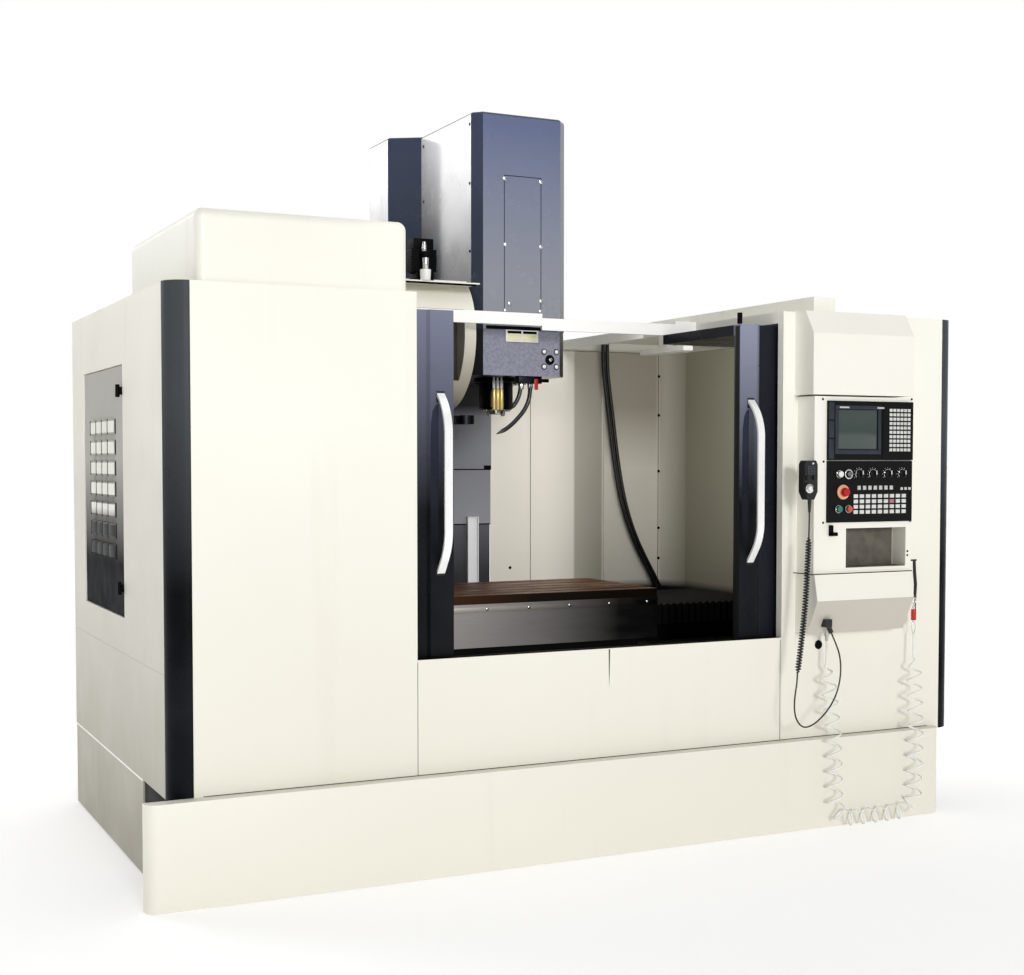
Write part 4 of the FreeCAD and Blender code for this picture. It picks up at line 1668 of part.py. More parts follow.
PARTS = {
    "machine_bed": machine_bed,
    "column": column,
    "guides_and_screws": guides_and_screws,
    "levelling_feet": levelling_feet,
    "coolant_tank": coolant_tank,
    "left_front_panel": left_front_panel,
    "left_side_panels": left_side_panels,
    "right_front_panel": right_front_panel,
    "right_side_panels": right_side_panels,
    "apron_panel": apron_panel,
    "corner_trims": corner_trims,
    "roof_hood": roof_hood,
    "roof_panels": roof_panels,
    "roof_rail": roof_rail,
    "rear_panels": rear_panels,
    "chamber_lining": chamber_lining,
    "z_cover_lower": z_cover_lower,
    "guide_channel": guide_channel,
    "electrical_cabinet": electrical_cabinet,
    "station_hood": station_hood,
    "station_cabinet": station_cabinet,
    "operator_panels": operator_panels,
    "panel_keys": panel_keys,
    "pendant_body": pendant_body,
    "pendant_cord": pendant_cord,
    "cord_connector": cord_connector,
    "air_gun": air_gun,
    "air_hose": air_hose,
    "magazine_housing": magazine_housing,
    "magazine_drive": magazine_drive,
    "work_light": work_light,
    "coolant_hoses": coolant_hoses,
    "vent_door": vent_door,
    "left_door": left_door,
    "left_handle": left_handle,
    "right_door": right_door,
    "right_handle": right_handle,
    "head_casting": head_casting,
    "head_cover": head_cover,
    "z_cover_upper": z_cover_upper,
    "spindle_nose": spindle_nose,
    "spindle": spindle,
    "z_cover_middle": z_cover_middle,
    "saddle": saddle,
    "table": table,
    "table_guard": table_guard,
    "x_bellows": x_bellows,
    "y_bellows": y_bellows,
    "magazine_drum": magazine_drum,
    "change_arm": change_arm,
    "emergency_stop": emergency_stop,
    "start_button": start_button,
    "stop_button": stop_button,
    "reset_button": reset_button,
    "key_switch": key_switch,
    "pendant_dial": pendant_dial,
}


def main():
    os.makedirs("parts", exist_ok=True)
    shapes = {name: make() for name, make in PARTS.items()}
    for number, x in enumerate(KNOB_XS, 1):
        shapes["override_knob_" + str(number)] = turning_knob(x, UPPER_ROW)
    for name, shape in shapes.items():
        shape.translate(V(-ORIGIN_X, -ORIGIN_Y, 0))
        shape.exportStep("parts/" + name + ".step")


main()
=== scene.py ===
import math

import bmesh
import bpy
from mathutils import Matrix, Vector


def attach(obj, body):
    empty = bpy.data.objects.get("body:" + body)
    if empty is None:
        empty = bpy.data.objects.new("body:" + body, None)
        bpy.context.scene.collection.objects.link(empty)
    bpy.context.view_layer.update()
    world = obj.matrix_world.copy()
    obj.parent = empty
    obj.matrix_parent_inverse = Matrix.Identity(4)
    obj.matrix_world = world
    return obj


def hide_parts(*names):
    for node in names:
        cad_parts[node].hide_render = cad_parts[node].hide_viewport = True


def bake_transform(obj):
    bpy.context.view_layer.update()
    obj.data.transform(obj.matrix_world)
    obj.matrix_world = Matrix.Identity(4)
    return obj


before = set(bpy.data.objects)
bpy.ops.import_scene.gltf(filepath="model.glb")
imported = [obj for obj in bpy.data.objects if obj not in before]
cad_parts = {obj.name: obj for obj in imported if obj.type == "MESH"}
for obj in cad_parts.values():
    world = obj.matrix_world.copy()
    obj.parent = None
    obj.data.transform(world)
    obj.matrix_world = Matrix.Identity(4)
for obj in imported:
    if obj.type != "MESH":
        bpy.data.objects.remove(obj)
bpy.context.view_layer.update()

# Places are given as on the machine's drawing: millimetres from the spindle axis, Z from the floor.
FOOTPRINT_MIDDLE = Vector((-61.0, 104.5, 0.0))


def at(x, y, z):
    """A place on the drawing, as a point of the frame in metres."""
    return (Vector((x, y, z)) - FOOTPRINT_MIDDLE) / 1000


def linked(name, data):
    """A new object of the scene that holds the data."""
    made = bpy.data.objects.new(name, data)
    bpy.context.collection.objects.link(made)
    return made


def evaluated_mesh(made):
    """A mesh of the object as its modifiers and its curve settings shape it."""
    bpy.context.view_layer.update()
    return bpy.data.meshes.new_from_object(made.evaluated_get(bpy.context.evaluated_depsgraph_get()))


def closed_mesh(name, shape):
    """The gathered faces as a mesh, all turned outward."""
    mesh = bpy.data.meshes.new(name)
    bmesh.ops.recalc_face_normals(shape, faces=shape.faces)
    shape.to_mesh(mesh)
    shape.free()
    return mesh


# ------------------------------------------------------------------ node trees
def linear(code):
    """The linear colour of an sRGB hex code."""
    parts = [int(code[i:i + 2], 16) / 255 for i in (1, 3, 5)]
    return [p / 12.92 if p <= 0.04045 else ((p + 0.055) / 1.055) ** 2.4 for p in parts] + [1.0]


class Graph:
    """A node tree, with the few steps that the sky, the finishes and the repeats are built from."""

    def __init__(self, tree):
        self.tree = tree

    def add(self, kind, inputs=None, **settings):
        """One node with its settings; an input is given a value, or a socket to be linked from."""
        made = self.tree.nodes.new(kind)
        for name, value in settings.items():
            setattr(made, name, value)
        for name, value in (inputs or {}).items():
            if isinstance(value, bpy.types.NodeSocket):
                self.tree.links.new(value, made.inputs[name])
            else:
                made.inputs[name].default_value = value
        return made

    def axes(self, space):
        """The X, Y and Z of one of the texture coordinates."""
        source = self.add("ShaderNodeTexCoord").outputs[space]
        return self.add("ShaderNodeSeparateXYZ", {0: source}).outputs

    def ranged(self, value, low, high, to_low=0.0, to_high=1.0):
        return self.add("ShaderNodeMapRange", {0: value, 1: low, 2: high, 3: to_low, 4: to_high}).outputs[0]

    def product(self, first, second):
        return self.add("ShaderNodeMath", {0: first, 1: second}, operation="MULTIPLY").outputs[0]

    def mixed(self, amount, first, second):
        return self.add("ShaderNodeMix", {0: amount, 2: first, 3: second}).outputs[0]

    def blended(self, amount, first, second):
        """A colour between two, each a hex code or a socket, by an amount from 0 to 1."""
        first, second = (linear(c) if isinstance(c, str) else c for c in (first, second))
        return self.add("ShaderNodeMix", {0: amount, 6: first, 7: second}, data_type="RGBA").outputs[2]


# ------------------------------------------------------------------ camera, light and floor
PHOTO_WIDTH = 1024
PHOTO_HEIGHT = 975
FOCAL_PIXELS = 1507.4
VIEW_CENTRE = (514.5, 522.1)
CAMERA_PLACE = (-3127.2, -6616.4, 1642.8)
CAMERA_TURN = 26.0
CAMERA_DIP = 2.33


def make_camera():
    data = bpy.data.cameras.new("camera")
    data.sensor_width = 36
    data.lens = FOCAL_PIXELS * data.sensor_width / PHOTO_WIDTH
    data.shift_x = (PHOTO_WIDTH / 2 - VIEW_CENTRE[0]) / PHOTO_WIDTH
    data.shift_y = (VIEW_CENTRE[1] - PHOTO_HEIGHT / 2) / PHOTO_WIDTH
    data.clip_end = 200
    camera = linked("camera", data)
    camera.location = at(*CAMERA_PLACE)
    camera.rotation_euler = (math.radians(90 - CAMERA_DIP), 0, math.radians(-CAMERA_TURN))
    bpy.context.scene.camera = camera


SKY_FRONT = 0.46
SKY_LEFT = 0.31
EYE_LEVEL_DIM = 0.5
WINDOW_GLOW = 4.0


def make_sky():
    """White room light, softer in front and on the left, with bright windows high at the back left.

    The backdrop itself is plain white from every side.
    """
    world = bpy.data.worlds.new("studio")
    bpy.context.scene.world = world
    world.use_nodes = True
    world.node_tree.nodes.clear()
    sky = Graph(world.node_tree)
    x, y, z = sky.axes("Generated")
    side = sky.ranged(x, -0.95, -0.1, SKY_LEFT, SKY_FRONT)
    level = sky.ranged(z, 0.02, 0.2, EYE_LEVEL_DIM, 1.0)
    behind = sky.product(sky.ranged(y, -0.1, 0.2), sky.ranged(x, -0.12, 0.05))
    room = sky.mixed(behind, sky.product(side, level), 1.0)
    high_behind = sky.product(sky.ranged(y, 0.5, 0.7), sky.ranged(z, 0.10, 0.17))
    windows = sky.product(sky.ranged(x, -0.15, -0.3), high_behind)
    lit = sky.mixed(windows, room, WINDOW_GLOW)
    seen = sky.add("ShaderNodeLightPath").outputs["Is Camera Ray"]
    glow = sky.add("ShaderNodeBackground", {"Color": linear("#FFFFFF"), "Strength": sky.mixed(seen, lit, 1.0)})
    sky.add("ShaderNodeOutputWorld", {"Surface": glow.outputs[0]})


SUN_TURN = 4.9
SUN_HEIGHT = 12.0
SUN_STRENGTH = 1.25
SUN_SPREAD = 13.0
# Each soft light: its name, its place, what it is aimed at, its size in metres and its power in watts.
SOFT_LIGHTS = (
    ("chamber_light", (1160, -200, 1750), (1160, 720, 1650), 1.2, 4.3),
    ("roof_light", (-300, -1500, 3400), (500, -300, 2260), 1.0, 6.0),
)


def make_sun():
    """Far white light from the front: turned left of straight ahead, and raised, by angles in degrees."""
    data = bpy.data.lights.new("front_light", "SUN")
    data.energy = SUN_STRENGTH
    data.angle = math.radians(SUN_SPREAD)
    lamp = linked("front_light", data)
    lamp.rotation_euler = (math.radians(90 - SUN_HEIGHT), 0, -math.radians(SUN_TURN))


def make_lamp(name, place, aim, size, power):
    """A square soft light that the camera doesn't see."""
    data = bpy.data.lights.new(name, "AREA")
    data.shape = "SQUARE"
    data.size = size
    data.energy = power
    lamp = linked(name, data)
    lamp.location = at(*place)
    lamp.rotation_euler = (at(*aim) - at(*place)).to_track_quat("-Z", "Y").to_euler()
    lamp.visible_camera = False


FLOOR_REACH = 30.0


def make_floor():
    mesh = bpy.data.meshes.new("floor")
    corners = [(x * FLOOR_REACH, y * FLOOR_REACH, 0) for x, y in ((-1, -1), (1, -1), (1, 1), (-1, 1))]
    mesh.from_pydata(corners, [], [(0, 1, 2, 3)])
    mesh.materials.append(studio_floor())
    linked("floor", mesh)


# ------------------------------------------------------------------ materials
SOCKETS = {
    "roughness": "Roughness", "metallic": "Metallic", "specular": "Specular IOR Level", "coat": "Coat Weight",
    "coat_roughness": "Coat Roughness", "clearness": "Transmission Weight", "ior": "IOR",
    "glow": "Emission Strength", "glow_colour": "Emission Color",
}
SLOW = (0.35, 0.65)
GRAIN = (0.3, 0.7)


class Finish(Graph):
    """One material: its noise and its heights are read on the object's own place, in metres."""

    def __init__(self, name, **constants):
        self.material = bpy.data.materials.new(name)
        self.material.use_nodes = True
        super().__init__(self.material.node_tree)
        self.shader = self.tree.nodes["Principled BSDF"]
        self.place = self.add("ShaderNodeTexCoord").outputs["Object"]
        for word, value in constants.items():
            self.shader.inputs[SOCKETS[word]].default_value = linear(value) if isinstance(value, str) else value

    def noise(self, size_mm, detail=2.0, stretch=(1, 1, 1)):
        """Noise whose blobs are about size_mm across, longer along the axes with a stretch above 1."""
        scaled = self.add("ShaderNodeMapping", {"Vector": self.place, "Scale": [1 / s for s in stretch]})
        made = self.add("ShaderNodeTexNoise",
                        {"Vector": scaled.outputs[0], "Scale": 1000 / size_mm / 2, "Detail": detail})
        return made.outputs["Fac"]

    def tones(self, colour, shade, size_mm, spread=SLOW):
        return self.blended(self.ranged(self.noise(size_mm), *spread), colour, shade)

    def gloss(self, source, low, high):
        """Roughness between two values, on a noise or on the noise of a size in millimetres."""
        if not isinstance(source, bpy.types.NodeSocket):
            source = self.noise(source)
        return self.ranged(source, *GRAIN, low, high)

    def clouded(self, colour, share):
        """The colour under a thin pale cloud, as on sprayed enamel."""
        cloud = self.ranged(self.noise(220, detail=4), 0.3, 0.75, 0.0, share)
        return self.blended(cloud, colour, "#8A8E9C")

    def done(self, colour, roughness=None, relief=None, depth_mm=0.0):
        self.tree.links.new(colour, self.shader.inputs["Base Color"])
        if roughness:
            self.tree.links.new(roughness, self.shader.inputs["Roughness"])
        if relief:
            bump = self.add("ShaderNodeBump", {"Height": relief, "Strength": 1.0, "Distance": depth_mm / 1000})
            self.tree.links.new(bump.outputs[0], self.shader.inputs["Normal"])
        return self.material


def powder_coat(name, colour, shade, roughness=0.42, peel_mm=3.0, depth_mm=0.05, specular=0.5):
    """Baked powder coat: faint orange peel, large soft changes of tone, a little less gloss where handled."""
    coat = Finish(name, specular=specular)
    return coat.done(coat.tones(colour, shade, 600), coat.gloss(90, roughness - 0.06, roughness + 0.06),
                     coat.noise(peel_mm), depth_mm)


def deep_enamel(name, foot, crown, foot_mm, crown_mm, roughness=0.3, specular=0.3):
    """Enamel or sheet steel whose tone changes slowly between two heights, over a fine orange peel; on the vent door,
    its louvres, the trims, the handle shadows and the top cover that change is painted light and shade.
    """
    coat = Finish(name, specular=specular)
    height = coat.axes("Object")[2]
    tone = coat.blended(coat.ranged(height, foot_mm / 1000, crown_mm / 1000), foot, crown)
    return coat.done(coat.clouded(tone, 0.05), coat.gloss(60, roughness - 0.06, roughness + 0.08),
                     coat.noise(4.0), 0.05)


def cream_coat(name, clean, dulled, dirt_and_shade, dirt_and_shade_top_mm, dirt_and_shade_share, dirt_and_shade_foot_mm=0.0, right_tone=None):
    """Cream powder coat of the outer sheets with faint runs, greyer towards its foot: dirt on the front sheets and the
    skirt, painted shade on the left side, and darker low on the magazine housing.
    """
    coat = Finish(name)
    across, _, height = coat.axes("Object")
    # Greyer towards the foot: dirt on most sheets, painted shade on the left side panels.
    low = coat.ranged(height, dirt_and_shade_foot_mm / 1000, dirt_and_shade_top_mm / 1000, dirt_and_shade_share, 0.0)
    tone = coat.tones(clean, dulled, 700)
    if right_tone:
        tone = coat.blended(coat.ranged(across, -1.5, 1.6), tone, right_tone)
    runs = coat.ranged(coat.noise(60, detail=3, stretch=(1, 1, 14)), 0.60, 0.85, 0.0, 0.3)
    streaked = coat.blended(runs, coat.blended(low, tone, dirt_and_shade), "#DDD6C6")
    return coat.done(streaked, coat.gloss(120, 0.34, 0.46), coat.noise(3.5), 0.04)


def chamber_coat():
    """Beige powder coat of the chamber, black below the table.

    Its right wall, the narrow sheet left of the hoses and the upper part of the one right of them are darker by
    painted shade.
    """
    coat = Finish("beige_chamber_coat", specular=0.25)
    x, _, z = coat.axes("Object")
    # Painted shade: a duller right wall, a duller narrow sheet left of the hoses and a duller upper part of the sheet
    # right of them.
    tone = coat.blended(coat.ranged(x, 1.418, 1.503), coat.tones("#F6F1E4", "#EDE7DA", 600), "#A09D8A")
    narrow_sheet = coat.product(coat.ranged(x, 0.872, 0.886), coat.ranged(x, 1.06, 1.05))
    tone = coat.blended(narrow_sheet, tone, "#BDB8AA")
    right_sheet = coat.product(coat.ranged(x, 1.06, 1.07), coat.ranged(x, 1.45, 1.40))
    tone = coat.blended(coat.product(right_sheet, coat.ranged(z, 1.6, 1.95)), tone, "#B4AE9E")
    darkened = coat.blended(coat.ranged(z, 0.93, 0.975, 1.0, 0.0), tone, "#141513")
    return coat.done(darkened, coat.gloss(90, 0.40, 0.52), coat.noise(3.0), 0.05)


def station_coat():
    """Cream powder coat of the operator station, with painted shade on the slope under its shelf."""
    coat = Finish("cream_station_coat")
    up = coat.axes("Normal")[2]
    # Painted shade: faces that look down and forward take a duller tone.
    tone = coat.blended(coat.ranged(up, -0.25, -0.4), coat.tones("#F6F4EA", "#F1EEE3", 600), "#C0BBAE")
    return coat.done(tone, coat.gloss(90, 0.32, 0.44), coat.noise(3.0), 0.05)


def head_enamel():
    """Sprayed navy enamel of the head, with its light and shade painted into the colour.

    In front it is paler towards its foot, painted light; the left side runs from painted shade near black at its foot
    up to a painted pale reflection; the bevels, the rear faces and the right side carry darker painted shade.
    """
    coat = Finish("navy_head_enamel", coat=0.5, coat_roughness=0.12, specular=0.3)
    across, ahead, _ = coat.axes("Normal")
    _, depth, height = coat.axes("Object")
    # Painted light and shade: a paler foot in front, painted shade and a painted pale reflection on the left side,
    # darker bevels, rear faces and right side.
    front = coat.blended(coat.ranged(height, 2.25, 3.2), "#97999F", "#566080")
    left_side = coat.blended(coat.ranged(height, 2.62, 3.13), "#0E1118", "#FBFBFE")
    deep = coat.blended(coat.ranged(height, 2.45, 3.15), "#232E3A", "#333A50")
    right_side = coat.blended(coat.ranged(height, 2.3, 3.2), "#474C5E", "#6C7490")
    left_or_deep = coat.blended(coat.ranged(across, -0.9, -0.97), deep, left_side)
    flanks = coat.blended(coat.ranged(across, 0.9, 0.97), left_or_deep, right_side)
    square_on = coat.product(coat.ranged(ahead, -0.9, -0.97), coat.ranged(depth, -0.2, -0.3))
    tone = coat.blended(square_on, flanks, front)
    return coat.done(coat.clouded(tone, 0.05), coat.gloss(60, 0.16, 0.30), coat.noise(4.0), 0.05)


def leaf_enamel(name, crown, shade_from_mm, shade_to_mm):
    """Navy enamel of a door leaf, with painted shade: near black at its foot, on its roof, and where it folds back
    across a distance; paler towards its crown, a painted reflection.
    """
    coat = Finish(name, specular=0.12)
    x, y, z = coat.axes("Object")
    # Painted shade at the foot, past the fold and on the roof; the paler crown is a painted reflection.
    tone = coat.blended(coat.ranged(z, 1.45, 2.3), "#06080C", crown)
    folded = coat.blended(coat.ranged(x, shade_from_mm / 1000, shade_to_mm / 1000), tone, "#12141C")
    roof_painted_shade = coat.blended(coat.ranged(y, -1.156, -1.146), folded, "#15161D")
    return coat.done(coat.clouded(roof_painted_shade, 0.04), coat.gloss(60, 0.24, 0.38), coat.noise(4.0), 0.05)


DIMPLE_MM = 12.0


def hammertone():
    """Hammered enamel on the head's casting: shallow round dimples, and painted shade near black on its flanks."""
    coat = Finish("hammered_enamel", roughness=0.3, coat=0.3)
    dimples = coat.add("ShaderNodeTexVoronoi", {"Vector": coat.place, "Scale": 1000 / DIMPLE_MM}, feature="SMOOTH_F1")
    distance = dimples.outputs["Distance"]
    ahead = coat.axes("Normal")[1]
    enamel = coat.blended(coat.ranged(distance, 0.1, 0.8), "#9799A7", "#7D7F8E")
    # Painted shade: near black on every face that doesn't look to the front.
    return coat.done(coat.blended(coat.ranged(ahead, -0.9, -0.97), "#101116", enamel), None, distance, 0.5)


def metal(name, colour, shade, roughness, grain_mm=1.0, stretch=(1, 1, 1), metallic=1.0):
    """Bare metal with a grain that runs along its stretched axis."""
    bare = Finish(name, metallic=metallic)
    grain = bare.noise(grain_mm, detail=3, stretch=stretch)
    return bare.done(bare.blended(bare.ranged(grain, *GRAIN), colour, shade),
                     bare.gloss(grain, roughness - 0.05, roughness + 0.07), grain, 0.02)


def graded_guard(name, pale_end, darkened):
    """Brushed sheet steel along the table: pale at its left end, turning near black towards its right."""
    sheet = Finish(name, metallic=0.25, specular=0.3)
    along = sheet.axes("Object")[0]
    grain = sheet.noise(0.8, detail=3, stretch=(60, 1, 1))
    smear = sheet.ranged(sheet.noise(150, detail=4, stretch=(3, 1, 1)), *GRAIN, -0.07, 0.07)
    darkening = sheet.add("ShaderNodeMath", {0: sheet.ranged(along, -0.70, 0.55), 1: smear}).outputs[0]
    steel = sheet.blended(darkening, pale_end, darkened)
    return sheet.done(sheet.blended(sheet.ranged(grain, *GRAIN, 0.0, 0.12), steel, "#3A3836"),
                      sheet.gloss(grain, 0.28, 0.40), grain, 0.02)


def oiled_iron():
    """Ground cast iron under an oil film, with brown rust that gathers in blotches; its sides are darker."""
    iron = Finish("oiled_cast_iron", metallic=0.1, specular=0.1)
    x, _, z = iron.axes("Object")
    rust = iron.ranged(iron.noise(130, detail=6, stretch=(2.5, 1, 1)), 0.42, 0.62)
    fine = iron.ranged(iron.noise(6, detail=4, stretch=(6, 1, 1)), *GRAIN)
    top = iron.blended(rust, iron.blended(fine, "#8A5C36", "#653F22"), "#432B17")
    side = iron.blended(iron.ranged(x, -0.6, 0.1), "#563618", "#160E07")
    return iron.done(iron.blended(iron.ranged(z, 1.0235, 1.0248), side, top), iron.ranged(rust, 0, 1, 0.34, 0.55),
                     fine, 0.05)


def plastic(name, colour, shade, roughness=0.45, texture_mm=0.8, depth_mm=0.03, specular=0.5):
    """Moulded plastic with a fine spark texture."""
    moulded = Finish(name, specular=specular)
    grain = moulded.noise(texture_mm)
    return moulded.done(moulded.tones(colour, shade, 40), moulded.gloss(grain, roughness - 0.05, roughness + 0.05),
                        grain, depth_mm)


def clear(name, colour, roughness, clearness):
    """A milky or glassy material, such as the hose's wall and the screen."""
    wall = Finish(name, ior=1.5, clearness=clearness, roughness=roughness)
    return wall.done(wall.tones(colour, colour, 80), None, wall.noise(30), 0.02)


def studio_floor():
    floor = Finish("studio_floor", roughness=0.9, specular=0.1, glow=0.34, glow_colour="#FFFFFF")
    return floor.done(floor.blended(floor.noise(4000), "#F4F4F4", "#F0F0EF"))


def glow(name, colour, strength):
    sheet = Finish(name, roughness=0.4, glow=strength, glow_colour=colour)
    return sheet.done(sheet.tones(colour, colour, 50, GRAIN))


LONG_GRAIN = (1, 1, 60)
CREAM = cream_coat("cream_powder_coat", "#F8F7EC", "#F4F2E7", "#DFDACB", 1800, 0.75)
# Painted shade: the left side panels grow darker and beiger towards the floor.
CREAM_SIDE = cream_coat("cream_side_coat", "#F8F6EA", "#F4F1E4", "#979180", 1750, 1.0, 120)
CREAM_STATION = station_coat()
CREAM_SKIRT = cream_coat("cream_skirt_coat", "#F8F7EC", "#F4F2E7", "#E4DFD1", 900, 0.75, right_tone="#E3E1D4")
CREAM_GUARD = cream_coat("cream_guard_coat", "#F2F0E4", "#ECE9DC", "#BFB9A7", 2310, 1.0, 2080)
CREAM_CABINET = powder_coat("cream_cabinet_coat", "#F6F4EA", "#F1EEE3", 0.38)
CREAM_RAIL = powder_coat("cream_rail_coat", "#FEFDFA", "#FAF9F5", 0.40)
NAVY_LEFT = leaf_enamel("navy_left_leaf_enamel", "#7C8094", 3000, 3100)
NAVY_RIGHT = leaf_enamel("navy_right_leaf_enamel", "#9296AA", 812, 838)
NAVY_HEAD = head_enamel()
# Painted shadow beside each door handle, near black at its foot.
NAVY_HANDLE_SHADOW = deep_enamel("navy_hollow_enamel", "#06070B", "#343848", 1300, 2000, specular=0.1)
CHARCOAL = powder_coat("charcoal_coat", "#3E4045", "#36383D", 0.42, specular=0.3)
# Painted reflection: the vent door is near black at its foot and pale grey higher up.
VENT_GREY = deep_enamel("grey_vent_enamel", "#08090A", "#BBB9B2", 1210, 1650, roughness=0.55, specular=0.02)
# Painted reflection: the louvre faces are near black low down and bright higher up.
LOUVRE_REFLECTION = deep_enamel("bright_louvre_enamel", "#26282A", "#F7F6EE", 1385, 1440, roughness=0.4, specular=0.2)
# Painted highlight: the black trims grow paler higher up.
TRIM_BLACK = deep_enamel("black_trim_enamel", "#030406", "#45484B", 1150, 1850, specular=0.05)
LINING = chamber_coat()
HAMMERED = hammertone()
CASTING_GREY = powder_coat("grey_casting_enamel", "#A6A79F", "#979890", 0.5, peel_mm=6, depth_mm=0.25)
# Near black enamel of the saddle.
CASTING_NEAR_BLACK = powder_coat("oily_casting_enamel", "#0D0D0C", "#080807", 0.5, peel_mm=6, depth_mm=0.25,
                           specular=0.08)
IRON = oiled_iron()
GUARD_STEEL = graded_guard("brushed_guard_steel", "#DFDAD7", "#060707")
STRIP_STEEL = graded_guard("bright_strip_steel", "#EFE5DB", "#050604")
# Painted shadow under the head: the upper cover turns near black at its top.
COVER_TOP = deep_enamel("oiled_cover_steel", "#85868B", "#0B0C0D", 1880, 1935, roughness=0.4)
COVER_MIDDLE = deep_enamel("dull_cover_steel", "#96979D", "#85868C", 1310, 1600, roughness=0.4)
COVER_LOW = deep_enamel("dark_cover_steel", "#2C2D2F", "#5C5C62", 1030, 1320, roughness=0.4)
ALUMINIUM = metal("brushed_aluminium", "#FAFAFA", "#EEEEEF", 0.4, 0.6, LONG_GRAIN, 0.1)
SATIN_CHROME = metal("satin_chrome", "#E6E6E4", "#D8D8D6", 0.2, 0.5, LONG_GRAIN)
HANDLE_ALUMINIUM = metal("satin_anodised_aluminium", "#FEFEFC", "#F6F6F4", 0.3, 0.5, LONG_GRAIN, 0.2)
GROUND_STEEL = metal("ground_steel", "#B4B4B0", "#A2A29E", 0.24, 0.6)
DARK_STEEL = metal("blued_steel", "#2A2B2E", "#1E1F22", 0.34, 0.8)
BRASS = metal("turned_brass", "#F3E39B", "#E6D081", 0.32, 0.5, metallic=0.55)
ZINC = metal("zinc_plated_steel", "#BDBEBE", "#A9AAAB", 0.32, 1.2)
RUBBER = plastic("black_rubber", "#131314", "#0C0C0D", 0.62)
HOSE_RUBBER = plastic("black_hose_rubber", "#1E1F21", "#151618", 0.28)
BELLOWS_CLOTH = plastic("coated_bellows_cloth", "#0B0C0C", "#070808", 0.5, 1.0, 0.08, specular=0.12)
ABS_BLACK = plastic("black_abs", "#141517", "#0E0F10", 0.42)
ABS_PANEL = plastic("charcoal_panel_film", "#0B0C0D", "#090A0B", 0.42, specular=0.15)
ABS_GREY = plastic("grey_abs", "#C9CAC7", "#BDBEBB", 0.42)
KEY_WHITE = plastic("white_key_caps", "#DADBD6", "#CCCDC7", 0.4, 0.5, 0.01)
WHITE_ABS = plastic("white_abs", "#F0F0EC", "#E6E6E1", 0.35)
RED_GLOSS = plastic("red_gloss_plastic", "#C81E1A", "#AE1512", 0.25)
GREEN_GLOSS = plastic("teal_gloss_plastic", "#2E7F66", "#236B55", 0.28)
PINK_KEY = plastic("pink_key_cap", "#C76E86", "#B55D75", 0.4)
ORANGE_RED = plastic("orange_red_plastic", "#D8553F", "#C4452F", 0.3)
PALE_RING = plastic("pale_orange_plastic", "#EDB08C", "#E39F78", 0.4)
PALE_LABEL = plastic("pale_yellow_label", "#EFEBC2", "#E6E1B2", 0.5)
JOINT_LINE = plastic("dark_joint_filler", "#4A473F", "#3D3A33", 0.7)
# Painted shade for the depth of the station's pocket.
POCKET_SHADE = plastic("grey_beige_pocket_felt", "#6E685F", "#59544C", 0.85, 1.5, 0.2)
# A black coat for small black parts, also laid on as painted shadow in recesses, gaps and under lips.
BLACK_AND_PAINTED_SHADOW = plastic("oily_black_coat", "#070708", "#040405", 0.55, specular=0.06)
MILKY_HOSE = clear("milky_hose_wall", "#F4F5F2", 0.3, 0.12)
SCREEN = clear("dark_screen_glass", "#3F4A47", 0.12, 0.0)
BEZEL = plastic("navy_bezel_plastic", "#2C313D", "#262B36", 0.4, specular=0.3)
# Painted light: the diffuser of the unlit work light glows faintly.
LAMP_GLASS = glow("lamp_diffuser", "#B9BAB5", 0.12)

CAD_FINISHES = (
    (CASTING_GREY, "machine_bed column"),
    (CASTING_NEAR_BLACK, "saddle"),
    (GROUND_STEEL, "guides_and_screws spindle"),
    (ZINC, "levelling_feet key_switch"),
    (CREAM_SKIRT, "coolant_tank"),
    (CREAM, "left_front_panel right_front_panel right_side_panels apron_panel roof_hood roof_panels "
            "rear_panels"),
    (CREAM_SIDE, "left_side_panels"),
    (TRIM_BLACK, "corner_trims"),
    (CREAM_RAIL, "roof_rail"),
    (LINING, "chamber_lining"),
    (COVER_LOW, "z_cover_lower"),
    (COVER_MIDDLE, "z_cover_middle"),
    (COVER_TOP, "z_cover_upper"),
    (ALUMINIUM, "guide_channel"),
    (CREAM_CABINET, "electrical_cabinet station_hood"),
    (CREAM_STATION, "station_cabinet"),
    (ABS_PANEL, "operator_panels"),
    (KEY_WHITE, "panel_keys"),
    (ABS_BLACK, "pendant_body cord_connector magazine_drive magazine_drum pendant_dial override_knob_1 "
                "override_knob_2 override_knob_3 override_knob_4"),
    (RED_GLOSS, "air_gun emergency_stop"),
    (CREAM_GUARD, "magazine_housing"),
    (WHITE_ABS, "work_light reset_button"),
    (VENT_GREY, "vent_door"),
    (NAVY_LEFT, "left_door"),
    (HANDLE_ALUMINIUM, "left_handle right_handle"),
    (NAVY_RIGHT, "right_door"),
    (HAMMERED, "head_casting"),
    (NAVY_HEAD, "head_cover"),
    (DARK_STEEL, "spindle_nose change_arm"),
    (IRON, "table"),
    (GUARD_STEEL, "table_guard"),
    (GREEN_GLOSS, "start_button"),
    (ORANGE_RED, "stop_button"),
)


def finish_cad_pieces():
    for material, names in CAD_FINISHES:
        for name in names.split():
            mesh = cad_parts[name].data
            mesh.materials.clear()
            mesh.materials.append(material)


# ------------------------------------------------------------------ making pieces
BEVEL_ANGLE = math.radians(40)
SHARP_ANGLE = math.radians(35)


def smooth(made):
    for polygon in made.data.polygons:
        polygon.use_smooth = True
    made.data.set_sharp_from_angle(angle=SHARP_ANGLE)


